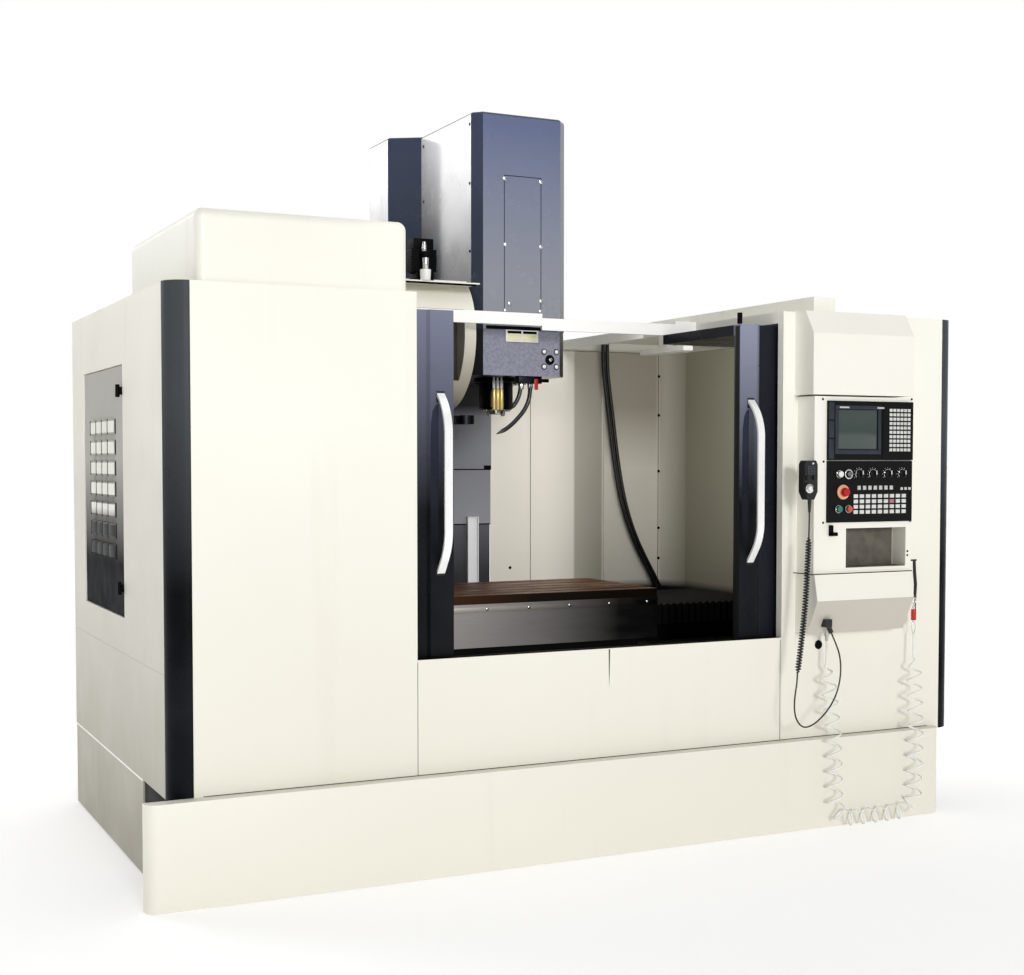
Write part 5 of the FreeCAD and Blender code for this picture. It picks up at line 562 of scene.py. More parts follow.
class Shape:
    """Gathers blocks, rods and prisms, drawn in millimetres, into one piece."""

    def __init__(self):
        self.mesh = bmesh.new()

    def faces(self, points, faces):
        corners = [self.mesh.verts.new(at(*p)) for p in points]
        for face in faces:
            self.mesh.faces.new([corners[i] for i in face])
        return self

    def block(self, x, y, z):
        (x0, x1), (y0, y1), (z0, z1) = sorted(x), sorted(y), sorted(z)
        points = [(x0, y0, z0), (x1, y0, z0), (x1, y1, z0), (x0, y1, z0),
                  (x0, y0, z1), (x1, y0, z1), (x1, y1, z1), (x0, y1, z1)]
        return self.faces(points, [(0, 3, 2, 1), (4, 5, 6, 7), (0, 1, 5, 4), (1, 2, 6, 5), (2, 3, 7, 6),
                                   (3, 0, 4, 7)])

    def rod(self, start, end, radius, end_radius=None, sides=24):
        """A round bar, or a cone where its end has another radius."""
        start, end = Vector(start), Vector(end)
        along = (end - start).normalized()
        side = along.orthogonal().normalized()
        other = along.cross(side)
        rings = []
        for centre, size in ((start, radius), (end, radius if end_radius is None else end_radius)):
            rings.append([centre + (side * math.cos(a) + other * math.sin(a)) * size
                          for a in (2 * math.pi * i / sides for i in range(sides))])
        walls = [(i, (i + 1) % sides, sides + (i + 1) % sides, sides + i) for i in range(sides)]
        caps = [tuple(range(sides))[::-1], tuple(range(sides, 2 * sides))]
        return self.faces(rings[0] + rings[1], walls + caps)

    def post(self, spot, heights, radius, end_radius=None, sides=24):
        """An upright rod at an X and a Y, between two heights."""
        return self.rod((*spot, heights[0]), (*spot, heights[1]), radius, end_radius, sides)

    def stud(self, spot, depths, radius, end_radius=None, sides=24):
        """A rod at an X and a Z that points to the front, between two depths."""
        (x, z), (near, far) = spot, depths
        return self.rod((x, near, z), (x, far, z), radius, end_radius, sides)

    def plate(self, x, z, face, rise):
        """A flat block that stands out from a front face by its rise."""
        return self.block(x, (face - rise, face), z)

    def sweep(self, points, radii, sides=16):
        """A round bar along a line of points, with its radius at each."""
        points = [Vector(p) for p in points]
        rings = []
        for i, (place, radius) in enumerate(zip(points, radii)):
            along = (points[min(i + 1, len(points) - 1)] - points[max(i - 1, 0)]).normalized()
            side = along.cross(Vector((0, 1, 0))).normalized()
            other = along.cross(side)
            rings += [place + (side * math.cos(a) + other * math.sin(a)) * radius
                      for a in (2 * math.pi * k / sides for k in range(sides))]
        walls = [(i * sides + k, i * sides + (k + 1) % sides, (i + 1) * sides + (k + 1) % sides, (i + 1) * sides + k)
                 for i in range(len(points) - 1) for k in range(sides)]
        last = (len(points) - 1) * sides
        return self.faces(rings, walls + [tuple(range(sides))[::-1], tuple(range(last, last + sides))])

    def hoop(self, centre, radius, wire, start=0.0, turn=360.0, steps=32, stretch=1.0):
        """A round wire bent into an upright ring, seen from the front."""
        count = steps + 1
        line = []
        for k in range(count):
            a = math.radians(start + turn * k / steps)
            line.append((centre[0] + radius * math.sin(a), centre[1], centre[2] + stretch * radius * math.cos(a)))
        return self.sweep(line, [wire] * count, 12)

    def piece(self, name, body, material, bevel_mm=0.0, stands_for=(), segments=2):
        """Closes the shape into an object that rides on its body."""
        made = linked(name, closed_mesh(name, self.mesh))
        made.data.materials.append(material)
        if bevel_mm:
            rounded = made.modifiers.new("edges", "BEVEL")
            rounded.width = bevel_mm / 1000
            rounded.segments = segments
            rounded.limit_method = "ANGLE"
            rounded.angle_limit = BEVEL_ANGLE
            made = plain(made)
        smooth(made)
        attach(made, body)
        if stands_for:
            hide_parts(*stands_for)


def plain(made):
    """The object with its modifiers worked into its mesh."""
    name = made.name
    mesh = evaluated_mesh(made)
    bpy.data.objects.remove(made)
    mesh.name = name
    return linked(name, mesh)


def repeat_tree():
    """Sets a copy of one template on every point, turned to the point's own direction."""
    tree = bpy.data.node_groups.new("set_on_points", "GeometryNodeTree")
    for name, kind in (("Geometry", "Geometry"), ("Template", "Object"), ("Material", "Material"), ("Size", "Float")):
        tree.interface.new_socket(name, in_out="INPUT", socket_type="NodeSocket" + kind)
    tree.interface.new_socket("Geometry", in_out="OUTPUT", socket_type="NodeSocketGeometry")
    graph = Graph(tree)
    inside = graph.add("NodeGroupInput")
    template = graph.add("GeometryNodeObjectInfo", {"Object": inside.outputs["Template"]})
    way = graph.add("GeometryNodeInputNamedAttribute", {"Name": "facing"}, data_type="FLOAT_VECTOR")
    turn = graph.add("FunctionNodeAlignRotationToVector", {"Vector": way.outputs["Attribute"]}, axis="Z")
    copies = graph.add("GeometryNodeInstanceOnPoints",
                       {"Points": inside.outputs["Geometry"], "Instance": template.outputs["Geometry"],
                        "Rotation": turn.outputs["Rotation"], "Scale": inside.outputs["Size"]})
    real = graph.add("GeometryNodeRealizeInstances", {"Geometry": copies.outputs["Instances"]})
    painted = graph.add("GeometryNodeSetMaterial",
                        {"Geometry": real.outputs["Geometry"], "Material": inside.outputs["Material"]})
    graph.add("NodeGroupOutput", {0: painted.outputs["Geometry"]})
    return tree


SET_ON_POINTS = repeat_tree()


def repeat(name, body, material, template, places, facing, size=1.0):
    """Copies of a template at drawing places, all facing one way, as one piece."""
    mesh = bpy.data.meshes.new(name)
    mesh.from_pydata([at(*p) for p in places], [], [])
    ways = mesh.attributes.new("facing", "FLOAT_VECTOR", "POINT")
    for item in ways.data:
        item.vector = facing
    holder = linked(name, mesh)
    modifier = holder.modifiers.new("copies", "NODES")
    modifier.node_group = SET_ON_POINTS
    values = {"Template": template, "Material": material, "Size": size}
    for item in SET_ON_POINTS.interface.items_tree:
        if item.in_out == "INPUT" and item.name in values:
            modifier[item.identifier] = values[item.name]
    made = plain(holder)
    smooth(made)
    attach(made, body)


def screw_head(name, *rods):
    """A template about the origin, facing +Z; it is removed once its copies are made."""
    shape = Shape()
    for low, high, radius, end_radius, sides in rods:
        shape.post((0, 0), (low, high), radius, end_radius, sides)
    bmesh.ops.translate(shape.mesh, verts=shape.mesh.verts, vec=FOOTPRINT_MIDDLE / 1000)
    return linked(name, closed_mesh(name, shape.mesh))


# ------------------------------------------------------------------ cords
PENDANT_WIRE = 3.5
PENDANT_CURL = 10.5
PENDANT_TURNS = 48
PENDANT_LEAD = [(890, -1300, 1419), (889.5, -1300, 1366), (888, -1300, 1313)]
PENDANT_CURLED = [(888, -1300, 1313), (880, -1300, 1120), (864, -1300, 930), (833, -1300, 717)]
PENDANT_TAIL = [
    (833, -1300, 717), (829, -1301, 672), (818, -1303, 622), (813, -1305, 570), (822, -1307, 518),
    (858, -1309, 480), (908, -1310, 488), (958, -1310, 520), (1004, -1308, 562), (1040, -1304, 612),
    (1062, -1300, 668), (1072, -1295, 726), (1069, -1290, 786), (1050, -1284, 840), (1029, -1279, 886),
]
WASH_HOSE = [
    (1006, 688, 2285), (1006, 688, 2162), (1022, 689, 2038), (1041, 690, 1914), (1058, 692, 1789),
    (1077, 694, 1665), (1099, 696, 1543), (1126, 697, 1424), (1161, 697, 1310), (1206, 697, 1203),
    (1258, 697, 1104), (1312, 696, 1012), (1356, 691, 930),
]
WASH_HOSE_RADIUS = 10.5
WASH_HOSE_PITCH = 26.0
AIR_HOSE = [
    (1547, -1216, 742), (1540, -1248, 500), (1531, -1253, 240), (1529, -1253, 44), (1330, -1253, 43),
    (1262, -1253, 43), (1080, -1253, 44), (1077, -1253, 240), (1066, -1248, 500), (1059, -1208, 742),
]
AIR_HOSE_WIRE = 4.0
AIR_HOSE_CURL = 34.0
AIR_HOSE_TURNS = 26


def spline_object(name, points, radius_mm):
    """A smooth curve whose control points are the route's points, in metres."""
    data = bpy.data.curves.new(name, "CURVE")
    data.dimensions = "3D"
    data.bevel_depth = radius_mm / 1000
    data.bevel_resolution = 3
    data.use_fill_caps = True
    spline = data.splines.new("NURBS")
    spline.points.add(len(points) - 1)
    for point, place in zip(spline.points, points):
        point.co = (*place, 1)
    spline.order_u = 3
    spline.use_endpoint_u = True
    spline.resolution_u = 8
    return linked(name, data)


def line_length(points):
    return sum((b - a).length for a, b in zip(points, points[1:]))


def vertex_line(made):
    mesh = evaluated_mesh(made)
    line = [v.co.copy() for v in mesh.vertices]
    bpy.data.meshes.remove(mesh)
    return line


def centreline(points):
    """Points read from the route's own smooth curve."""
    made = spline_object("route", points, 0)
    line = vertex_line(made)
    bpy.data.objects.remove(made)
    return line


def helix(line, turns, radius_mm, per_turn=12, ease_turns=1):
    """Curls round a line: they open from its start and close into its end."""
    total = line_length(line)
    radius = radius_mm / 1000
    made = []
    travelled = 0.0
    index = 0
    count = turns * per_turn
    for step in range(count + 1):
        wanted = total * step / count
        while index < len(line) - 2 and travelled + (line[index + 1] - line[index]).length < wanted:
            travelled += (line[index + 1] - line[index]).length
            index += 1
        run = line[index + 1] - line[index]
        along = run.normalized()
        place = line[index] + along * (wanted - travelled)
        side = along.cross(Vector((0, 1, 0))).normalized()
        other = along.cross(side)
        angle = 2 * math.pi * step / per_turn
        opening = min(1.0, step / (per_turn * ease_turns), (count - step) / (per_turn * ease_turns))
        made.append(place + (side * math.cos(angle) + other * math.sin(angle)) * radius * opening)
    return made


def curve_length(made):
    """The length of a curve without its thickness."""
    depth = made.data.bevel_depth
    made.data.bevel_depth = 0
    total = line_length(vertex_line(made))
    made.data.bevel_depth = depth
    return total


def make_cord(name, points, radius_mm, material, node):
    made = spline_object(name, points, radius_mm)
    made.data.materials.append(material)
    length = curve_length(made)
    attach(made, "frame")
    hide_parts(node)


def places(points):
    return [at(*p) for p in points]


# Metres from the curls at which points lead the cord into them.
CURL_EASE = (0.024, 0.010, 0.004, 0.0015)


def make_pendant_cord():
    curls = helix(centreline(places(PENDANT_CURLED)), PENDANT_TURNS, PENDANT_CURL, ease_turns=2)
    lead, tail = places(PENDANT_LEAD), places(PENDANT_TAIL)
    into = [curls[0] + (lead[-2] - curls[0]).normalized() * step for step in CURL_EASE]
    out = [curls[-1] + (tail[1] - curls[-1]).normalized() * step for step in CURL_EASE[::-1]]
    points = lead[:-1] + into + curls + out + tail[1:]
    make_cord("pendant_cord_wire", points, PENDANT_WIRE, HOSE_RUBBER, "pendant_cord")


def make_wash_hoses():
    for number, shift in enumerate((0.0, -WASH_HOSE_PITCH), 1):
        points = [at(x + shift, y, z) for x, y, z in WASH_HOSE]
        make_cord("wash_hose_%d" % number, points, WASH_HOSE_RADIUS, HOSE_RUBBER, "coolant_hoses")


def make_air_hose():
    curls = helix(centreline(places(AIR_HOSE)), AIR_HOSE_TURNS, AIR_HOSE_CURL)
    make_cord("spiral_air_hose", curls, AIR_HOSE_WIRE, MILKY_HOSE, "air_hose")


# ------------------------------------------------------------------ way bellows
FOLD_DEPTH = 14.0
CLOTH_THICKNESS = 1.5
X_FOLDS = 26
X_BELLOWS = (352.0, 1338.0)
X_HALF_DEPTH = 340.0
X_LOW = 846.0
X_TOP = 948.0
Y_FOLDS = 18
Y_BELLOWS = (-1038.0, -332.0)
Y_HALF_WIDTH = 638.0
Y_LOW = 622.0
Y_TOP = 740.0


def folded_cover(name, start, end, across, low, top, folds, along_x):
    """A pleated cover: every ring of the sheet steps in and out by one fold."""
    made = bmesh.new()
    rings = []
    for i in range(2 * folds + 1):
        depth = FOLD_DEPTH if i % 2 else 0.0
        run = start + (end - start) * i / (2 * folds)
        side = across - depth
        outline = [(-side, low), (-side, top - depth), (side, top - depth), (side, low)]
        ring = []
        for a, z in outline:
            ring.append(made.verts.new(at(run, a, z) if along_x else at(a, run, z)))
        rings.append(ring)
    for one, two in zip(rings, rings[1:]):
        for k in range(3):
            made.faces.new([one[k], one[k + 1], two[k + 1], two[k]])
    cover = linked(name, closed_mesh(name, made))
    cover.data.materials.append(BELLOWS_CLOTH)
    wall = cover.modifiers.new("cloth", "SOLIDIFY")
    wall.thickness = CLOTH_THICKNESS / 1000
    wall.offset = -1
    return plain(cover)


def make_bellows():
    for side, word in ((1, "right"), (-1, "left")):
        inner, outer = (side * end for end in X_BELLOWS)
        made = folded_cover("x_bellows_" + word, inner, outer, X_HALF_DEPTH, X_LOW, X_TOP, X_FOLDS, True)
        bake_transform(made)
        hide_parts("x_bellows")
    front, back = Y_BELLOWS
    made = folded_cover("y_bellows_front", front, back, Y_HALF_WIDTH, Y_LOW, Y_TOP, Y_FOLDS, False)
    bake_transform(made)
    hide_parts("y_bellows")


# ------------------------------------------------------------------ doors
LEAF_FRONT = -1096.0
LEAF_BACK = -1054.0
LEFT_EDGE = -705.0
RIGHT_EDGE = 665.0


def make_door_details():
    for side, edge, body in ((-1, LEFT_EDGE, "left_door"), (1, RIGHT_EDGE, "right_door")):
        seal = Shape().block((edge - side * 0.9, edge), (LEAF_FRONT + 4, LEAF_BACK - 4), (856, 2234))
        seal.piece(body + "_seal", body, RUBBER, 0.3)
        lip = Shape().block((edge + side * 4, edge + side * 22), (LEAF_BACK, LEAF_BACK + 10), (856, 2190))
        lip.piece(body + "_inner_lip", body, RUBBER, 1.5)
        x = edge + side * 57.0
        for z, word in ((1897.0, "top"), (1207.0, "foot")):
            pad = Shape().plate((x - 18, x + 18), (z - 22, z + 22), LEAF_FRONT, 2)
            pad.piece(body + "_handle_pad_" + word, body, RUBBER, 1.0)
        # Painted shadow of each handle: a thin dark sheet on the leaf beside it.
        handle_shadow = Shape()
        rim = [(x - 9, 1868), (x - 22, 1862), (x - 34, 1838), (x - 41, 1790), (x - 43, 1700), (x - 43, 1300),
               (x - 36, 1250), (x - 9, 1222)]
        corners = [(a, LEAF_FRONT - 0.8, b) for a, b in rim] + [(a, LEAF_FRONT, b) for a, b in rim]
        count = len(rim)
        handle_shadow.faces(corners, [tuple(range(count)), tuple(range(count, 2 * count))[::-1]] +
                     [(k, (k + 1) % count, count + (k + 1) % count, count + k) for k in range(count)])
        handle_shadow.piece(body + "_handle_hollow", body, NAVY_HANDLE_SHADOW)


# ------------------------------------------------------------------ head
HEAD_FRONT = -286.0
HEAD_UNDERSIDE = 2039.0
NOZZLE_RADIUS = 10.0
NOZZLE_LONG = [(62, 34), (60, 74), (52, 117), (30, 159), (0, 193), (-34, 225), (-72, 253), (-114, 271)]
NOZZLE_SHORT = [(14, 34), (12, 67), (2, 101), (-16, 131), (-40, 157)]


def make_head_details(screws):
    joints = Shape()
    for x in (-92, 98):
        joints.plate((x - 1.5, x + 1.5), (2330, 2962), HEAD_FRONT, 0.8)
    joints.plate((-92, 98), (2959, 2962), HEAD_FRONT, 0.8).block(
        (-92, 98), (HEAD_FRONT - 0.8, HEAD_FRONT), (2330, 2333))
    joints.piece("head_access_joint", "head", BLACK_AND_PAINTED_SHADOW)
    spots = [(-92, 2946), (96, 2944), (-87, 2643), (98, 2643), (-66, 2372), (98, 2390), (-87, 2339), (94, 2342)]
    repeat("head_plate_screws", "head", SATIN_CHROME, screws["button"], [(x, HEAD_FRONT - 0.8, z) for x, z in spots],
           (0, -1, 0), 2.0)
    repeat("head_side_screws", "head", DARK_STEEL, screws["button"],
           [(-242, y, z) for y in (-230, 320) for z in (2300, 2610, 2920, 3190)], (-1, 0, 0), 1.5)
    face = HEAD_FRONT + 3
    Shape().plate((-87, 82), (2195, 2251), face, 9).piece("head_terminal_frame", "head", WHITE_ABS, 1.5)
    slots, labels = Shape(), Shape()
    for x in (-78, 2):
        slots.block((x, x + 71), (face - 9.6, face - 9), (2234, 2246))
        labels.block((x, x + 71), (face - 9.8, face - 9), (2202, 2231))
    slots.piece("head_terminal_slots", "head", BLACK_AND_PAINTED_SHADOW, 0.2)
    labels.piece("head_terminal_labels", "head", PALE_LABEL, 0.3)
    # Painted shadow: a dark band in the recess between the casting's top and the cover.
    Shape().plate((-186, 186), (2251.5, 2268), HEAD_FRONT, 0.7).piece("head_joint_band", "head", BLACK_AND_PAINTED_SHADOW, 0.2)
    Shape().stud((146, 2117), (face, face - 4), 24, 23, 40).piece("head_oil_sight_seat", "head", BLACK_AND_PAINTED_SHADOW, 0.8)
    Shape().stud((146, 2117), (face - 4, face - 14), 11, 8).piece("head_oil_sight", "head", SATIN_CHROME, 1.0)
    seats = Shape()
    for x in (117, 182):
        for z in (2155, 2085):
            seats.stud((x, z), (face, face - 1), 14.5, 14)
    seats.piece("head_bolt_seats", "head", BLACK_AND_PAINTED_SHADOW)
    repeat("head_plug_bolts", "head", ALUMINIUM, screws["button"],
           [(x, face - 1, z) for x in (117, 182) for z in (2155, 2085)], (0, -1, 0), 2.0)


def make_spindle_nose(screws):
    """Cartridge, brass distributor, fittings and the nozzle hoses under the head."""
    nose = Shape().post((0, 0), (2019, 2039), 108, sides=64).post((0, 0), (1895, 2019), 81.5, sides=64)
    nose.post((0, 0), (1889, 1895), 74, 81.5, 64)
    nose.piece("spindle_cartridge", "head", DARK_STEEL, 0.8, ("spindle_nose",))
    ring = [math.radians(30 * k + 15) for k in range(12)]
    repeat("cartridge_bolts", "head", GROUND_STEEL, screws["socket"],
           [(62 * math.cos(a), 62 * math.sin(a), 1889) for a in ring], (0, 0, -1), 1.2)
    repeat("flange_bolts", "head", DARK_STEEL, screws["socket"],
           [(95 * math.cos(a), 95 * math.sin(a), 2019) for a in ring], (0, 0, -1), 1.2)
    y = -108.0
    rods, caps = Shape(), Shape()
    for x in (-62, -42, -22):
        rods.post((x, y), (1888, 1984), 9.4).post((x, y), (1884, 1888), 7, 9)
        caps.post((x, y), (1986, 2026), 7.6, sides=6).post((x, y), (2026, 2039), 5, sides=16)
    rods.block((-68, -16), (y + 4, y + 24), (1900, 1975))
    rods.piece("brass_distributor", "head", BRASS, 0.8)
    caps.piece("white_fittings", "head", WHITE_ABS, 0.5)
    Shape().post((-52, y), (1868, 1884), 4, 6, 16).piece("distributor_drain", "head", WHITE_ABS, 0.5)
    manifold = Shape().block((-10, 110), (HEAD_FRONT + 12, HEAD_FRONT + 62), (2005, 2039))
    manifold.piece("nozzle_manifold", "head", DARK_STEEL, 2.0)
    valve = Shape().stud((72, 2014), (HEAD_FRONT + 12, HEAD_FRONT - 1), 8, sides=20)
    valve.block((64, 82), (HEAD_FRONT - 4, HEAD_FRONT + 1), (1975, 2026))
    valve.piece("nozzle_valve_lever", "head", RED_GLOSS, 1.5)
    lever = Shape().block((96, 150), (HEAD_FRONT + 16, HEAD_FRONT + 24), (2012, 2028))
    lever.piece("nozzle_side_lever", "head", BLACK_AND_PAINTED_SHADOW, 2.0)
    collars = Shape()
    for cx in (14, 62):
        collars.post((cx, HEAD_FRONT + 40), (1986, 2005), 14, sides=6)
        collars.post((cx, HEAD_FRONT + 40), (1978, 1986), 11.5, 13)
    collars.piece("nozzle_collars", "head", ZINC, 0.8)
    for name, y, route in (("nozzle_hose_long", HEAD_FRONT + 37, NOZZLE_LONG),
                           ("nozzle_hose_short", HEAD_FRONT + 44, NOZZLE_SHORT)):
        line = centreline([at(x, y, HEAD_UNDERSIDE - drop) for x, drop in route])
        points = [p * 1000 + FOOTPRINT_MIDDLE for p in line]
        last = len(points) - 1
        radii = [NOZZLE_RADIUS if i < last - 3 else NOZZLE_RADIUS * (0.3 + 0.17 * (last - i))
                 for i in range(last + 1)]
        Shape().sweep(points, radii).piece(name, "head", HOSE_RUBBER)


# ------------------------------------------------------------------ operator station
PANEL_FACE = -1272.0
DISPLAY_FACE = PANEL_FACE - 12.0
PLATE_FACE = PANEL_FACE - 8.0
KNOB_PLACES = (1174.0, 1250.0, 1334.0, 1415.0)
UPPER_ROW = 1584.0


def make_display():
    screen = Shape().block((1057, 1271), (DISPLAY_FACE + 2.5, DISPLAY_FACE + 3.9), (1695, 1867))
    screen.piece("display_screen", "frame", SCREEN, 0.4)
    border = Shape()
    border.plate((1038, 1290), (1870, 1886), DISPLAY_FACE, 2.5)
    border.plate((1038, 1290), (1672, 1692), DISPLAY_FACE, 2.5)
    border.plate((1038, 1054), (1692, 1870), DISPLAY_FACE, 2.5)
    border.plate((1274, 1290), (1692, 1870), DISPLAY_FACE, 2.5)
    border.piece("display_border", "frame", BEZEL, 1.2)
    marks = Shape()
    for x0, x1 in ((1060, 1112), (1268, 1306)):
        marks.block((x0, x1), (DISPLAY_FACE - 3.0, DISPLAY_FACE - 0.2), (1874, 1881))
    marks.piece("display_blank_badges", "frame", ABS_GREY, 0.3)
    steps = Shape()
    for z0, z1 in ((1652, 1738), (1744, 1818), (1824, 1898)):
        steps.plate((1004, 1032), (z0, z1), DISPLAY_FACE, 1.5)
    steps.piece("display_side_covers", "frame", BEZEL, 1.0)
    Shape().plate((1300, 1304), (1648, 1904), DISPLAY_FACE, 0.5).piece("display_unit_joint", "frame", BLACK_AND_PAINTED_SHADOW, 0.2)
    Shape().plate((1001, 1474), (1642, 1646), PANEL_FACE, 2).piece("display_unit_ledge", "frame", ABS_GREY, 0.2)
    joints = Shape().block((918, 1475), (-1285.7, -1285), (1144, 1148))
    joints.block((917.4, 918), (-1285, -1150), (1144, 1148))
    joints.piece("shelf_joint", "frame", BLACK_AND_PAINTED_SHADOW)


def make_control_details(screws):
    ring = Shape().stud((1084, 1505), (PLATE_FACE - 5, PLATE_FACE - 9), 33, 31, 48)
    ring.stud((1084, 1505), (PLATE_FACE, PLATE_FACE - 5), 31, 33, 48)
    ring.piece("stop_ring", "frame", PALE_RING, 0.6)
    marks = Shape()
    for i in range(7):
        marks.plate((1166 + i * 30, 1184 + i * 30), (1514, 1532), PLATE_FACE, 1.2)
    for i in range(3):
        marks.plate((1408 + i * 22, 1422 + i * 22), (1512, 1524), PLATE_FACE, 1.2)
    marks.piece("status_windows", "frame", ABS_GREY, 0.4)
    pink = Shape().block((1380.5 - 34, 1403.5 - 34), (PLATE_FACE - 3.4, PLATE_FACE - 2.5), (1455, 1470))
    pink.piece("pink_key", "frame", PINK_KEY, 0.4)
    corners = [(979, 1912), (1474, 1920), (985, 1639), (985, 1371), (1472, 1371)]
    repeat("panel_corner_screws", "frame", DARK_STEEL, screws["button"], [(x, PANEL_FACE, z) for x, z in corners],
           (0, -1, 0), 1.1)
    collars, ticks = Shape(), Shape()
    for number, x in enumerate(KNOB_PLACES, 1):
        collars.hoop((x, PLATE_FACE - 3, UPPER_ROW), 21, 1.8, -130, 260)
        pointer = Shape().block((x - 1.8, x + 1.8), (PLATE_FACE - 29.5, PLATE_FACE - 26.5),
                                (UPPER_ROW - 2, UPPER_ROW + 15))
        pointer.piece("override_pointer_%d" % number, "override_knob_%d" % number, WHITE_ABS, 0.4)
        for k in range(9):
            angle = math.radians(-120 + 30 * k)
            cx, cz = x + 28 * math.sin(angle), UPPER_ROW + 28 * math.cos(angle)
            ticks.plate((cx - 1.2, cx + 1.2), (cz - 1.2, cz + 1.2), PLATE_FACE, 0.4)
    for x, z in ((1060, 1430), (1115, 1430), (1064, UPPER_ROW)):
        collars.hoop((x, PLATE_FACE - 4, z), 16, 1.6)
    collars.hoop((1114, PLATE_FACE - 4, UPPER_ROW), 19, 4.0)
    collars.piece("control_collars", "frame", SATIN_CHROME)
    ticks.piece("override_scale_dots", "frame", WHITE_ABS)
    repeat("station_small_screws", "frame", DARK_STEEL, screws["button"],
           [(1458, PANEL_FACE, 1234), (1458, PANEL_FACE, 1216)], (0, -1, 0), 1.0)
    latch = Shape().plate((1015, 1031), (1312, 1360), PANEL_FACE, 16)
    latch.plate((1015, 1055), (1312, 1328), PANEL_FACE, 16)
    latch.piece("cabinet_latch", "frame", BLACK_AND_PAINTED_SHADOW, 2.0)


DIAL_PLACE = (864.0, 1523.0)
PENDANT_FACE = -1322.0


def make_pendant_details():
    """Silver scale disc and white knob on the dial, with the keypad and lamp above them."""
    x, z = DIAL_PLACE
    disc = Shape().stud((x, z), (PENDANT_FACE - 13, PENDANT_FACE - 15), 21, 20, 40)
    disc.piece("dial_scale", "pendant_dial", SATIN_CHROME, 0.3)
    knob = Shape().stud((x, z), (PENDANT_FACE - 15, PENDANT_FACE - 24), 12, 10, 32)
    knob.piece("dial_knob", "pendant_dial", WHITE_ABS, 2.0, segments=3)
    Shape().plate((862, 902), (1583, 1621), PENDANT_FACE, 2.5).piece("pendant_keypad", "frame", CHARCOAL, 2.0)
    keys = Shape()
    for column in range(3):
        for row in range(3):
            keys.block((866 + column * 12, 874 + column * 12), (PENDANT_FACE - 4, PENDANT_FACE - 2.5),
                       (1587 + row * 11, 1594 + row * 11))
    keys.piece("pendant_keys", "frame", BEZEL, 0.8)
    lamp = Shape().stud((890, 1631), (PENDANT_FACE, PENDANT_FACE - 6), 5, 3.5, 20)
    lamp.piece("pendant_lamp", "frame", WHITE_ABS, 0.8)


GUN_PLACE = (1552.0, -1210.0)
STRAP_TOP = 1183.0
STRAP_LOW = 1017.0
GRIP_TOP = 961.0
GRIP_LOW = 910.0
LEAD_TOP = 844.0


def make_air_gun():
    """Strap, ring and link from the peg, then the red grip, the chrome shackle and the milky lead of the hose."""
    x, y = GUN_PLACE
    strap = Shape().rod((1478, y, 1187), (x + 12, y, 1187), 4, sides=20)
    line = [(x, y, STRAP_TOP + 6), (x + 3, y, 1130), (x + 9, y, 1075), (x + 7, y, 1030), (x, y, STRAP_LOW)]
    strap.sweep(line, [7, 7.5, 7.5, 7, 6])
    strap.sweep([(x + 5, y + 6, STRAP_TOP), (x + 13, y + 6, 1100), (x + 15, y + 6, 1020), (x + 13, y + 6, 958)],
                [4, 4.5, 4.5, 3.5])
    strap.piece("gun_strap", "frame", RUBBER, stands_for=("air_gun",))
    steel = Shape().hoop((x, y, 1001), 14, 2.6)
    steel.post((x, y), (988, GRIP_TOP), 4.5, sides=16).post((x, y), (972, 966), 7, sides=6)
    steel.hoop((x, y, 878), 11, 2.4, stretch=2.4).post((x, y), (GRIP_LOW, 902), 6, 5, 16)
    steel.post((x, y), (854, LEAD_TOP), 6.5, 5, 16)
    steel.piece("gun_ring_and_shackle", "frame", SATIN_CHROME)
    Shape().post((x, y), (GRIP_LOW, GRIP_TOP), 12).piece("gun_grip", "frame", RED_GLOSS, 2.5, segments=3)
    hose_x, hose_y, hose_z = AIR_HOSE[0]
    port_x, port_y, port_z = AIR_HOSE[-1]
    lead = Shape().rod((x, y, LEAD_TOP), (hose_x, hose_y, hose_z), AIR_HOSE_WIRE, AIR_HOSE_WIRE, 16)
    lead.post((port_x, port_y), (840, port_z), AIR_HOSE_WIRE, AIR_HOSE_WIRE, 16)
    lead.piece("air_hose_leads", "frame", MILKY_HOSE)
    port = Shape().post((port_x, port_y), (882, 862), 12, sides=6)
    port.post((port_x, port_y), (862, 840), 8, 6.5, 20)
    port.piece("air_hose_port", "frame", ZINC, 0.8)


# ------------------------------------------------------------------ side and chamber fittings
FRONT_FACE = -1150.0
SIDE_FACE = -1860.0
DOOR_FACE = -1855.0
LINING_FACE = 722.0
STRIP_FACE = -357.0
LOUVRE_COLUMNS, LOUVRE_ROWS = 4, 7
LOUVRE_START = (-186.0, 1228.0)
LOUVRE_PITCH = (128.0, 88.0)
LOUVRE_SWELL = 14.0
LOUVRE_STRIPS = 6


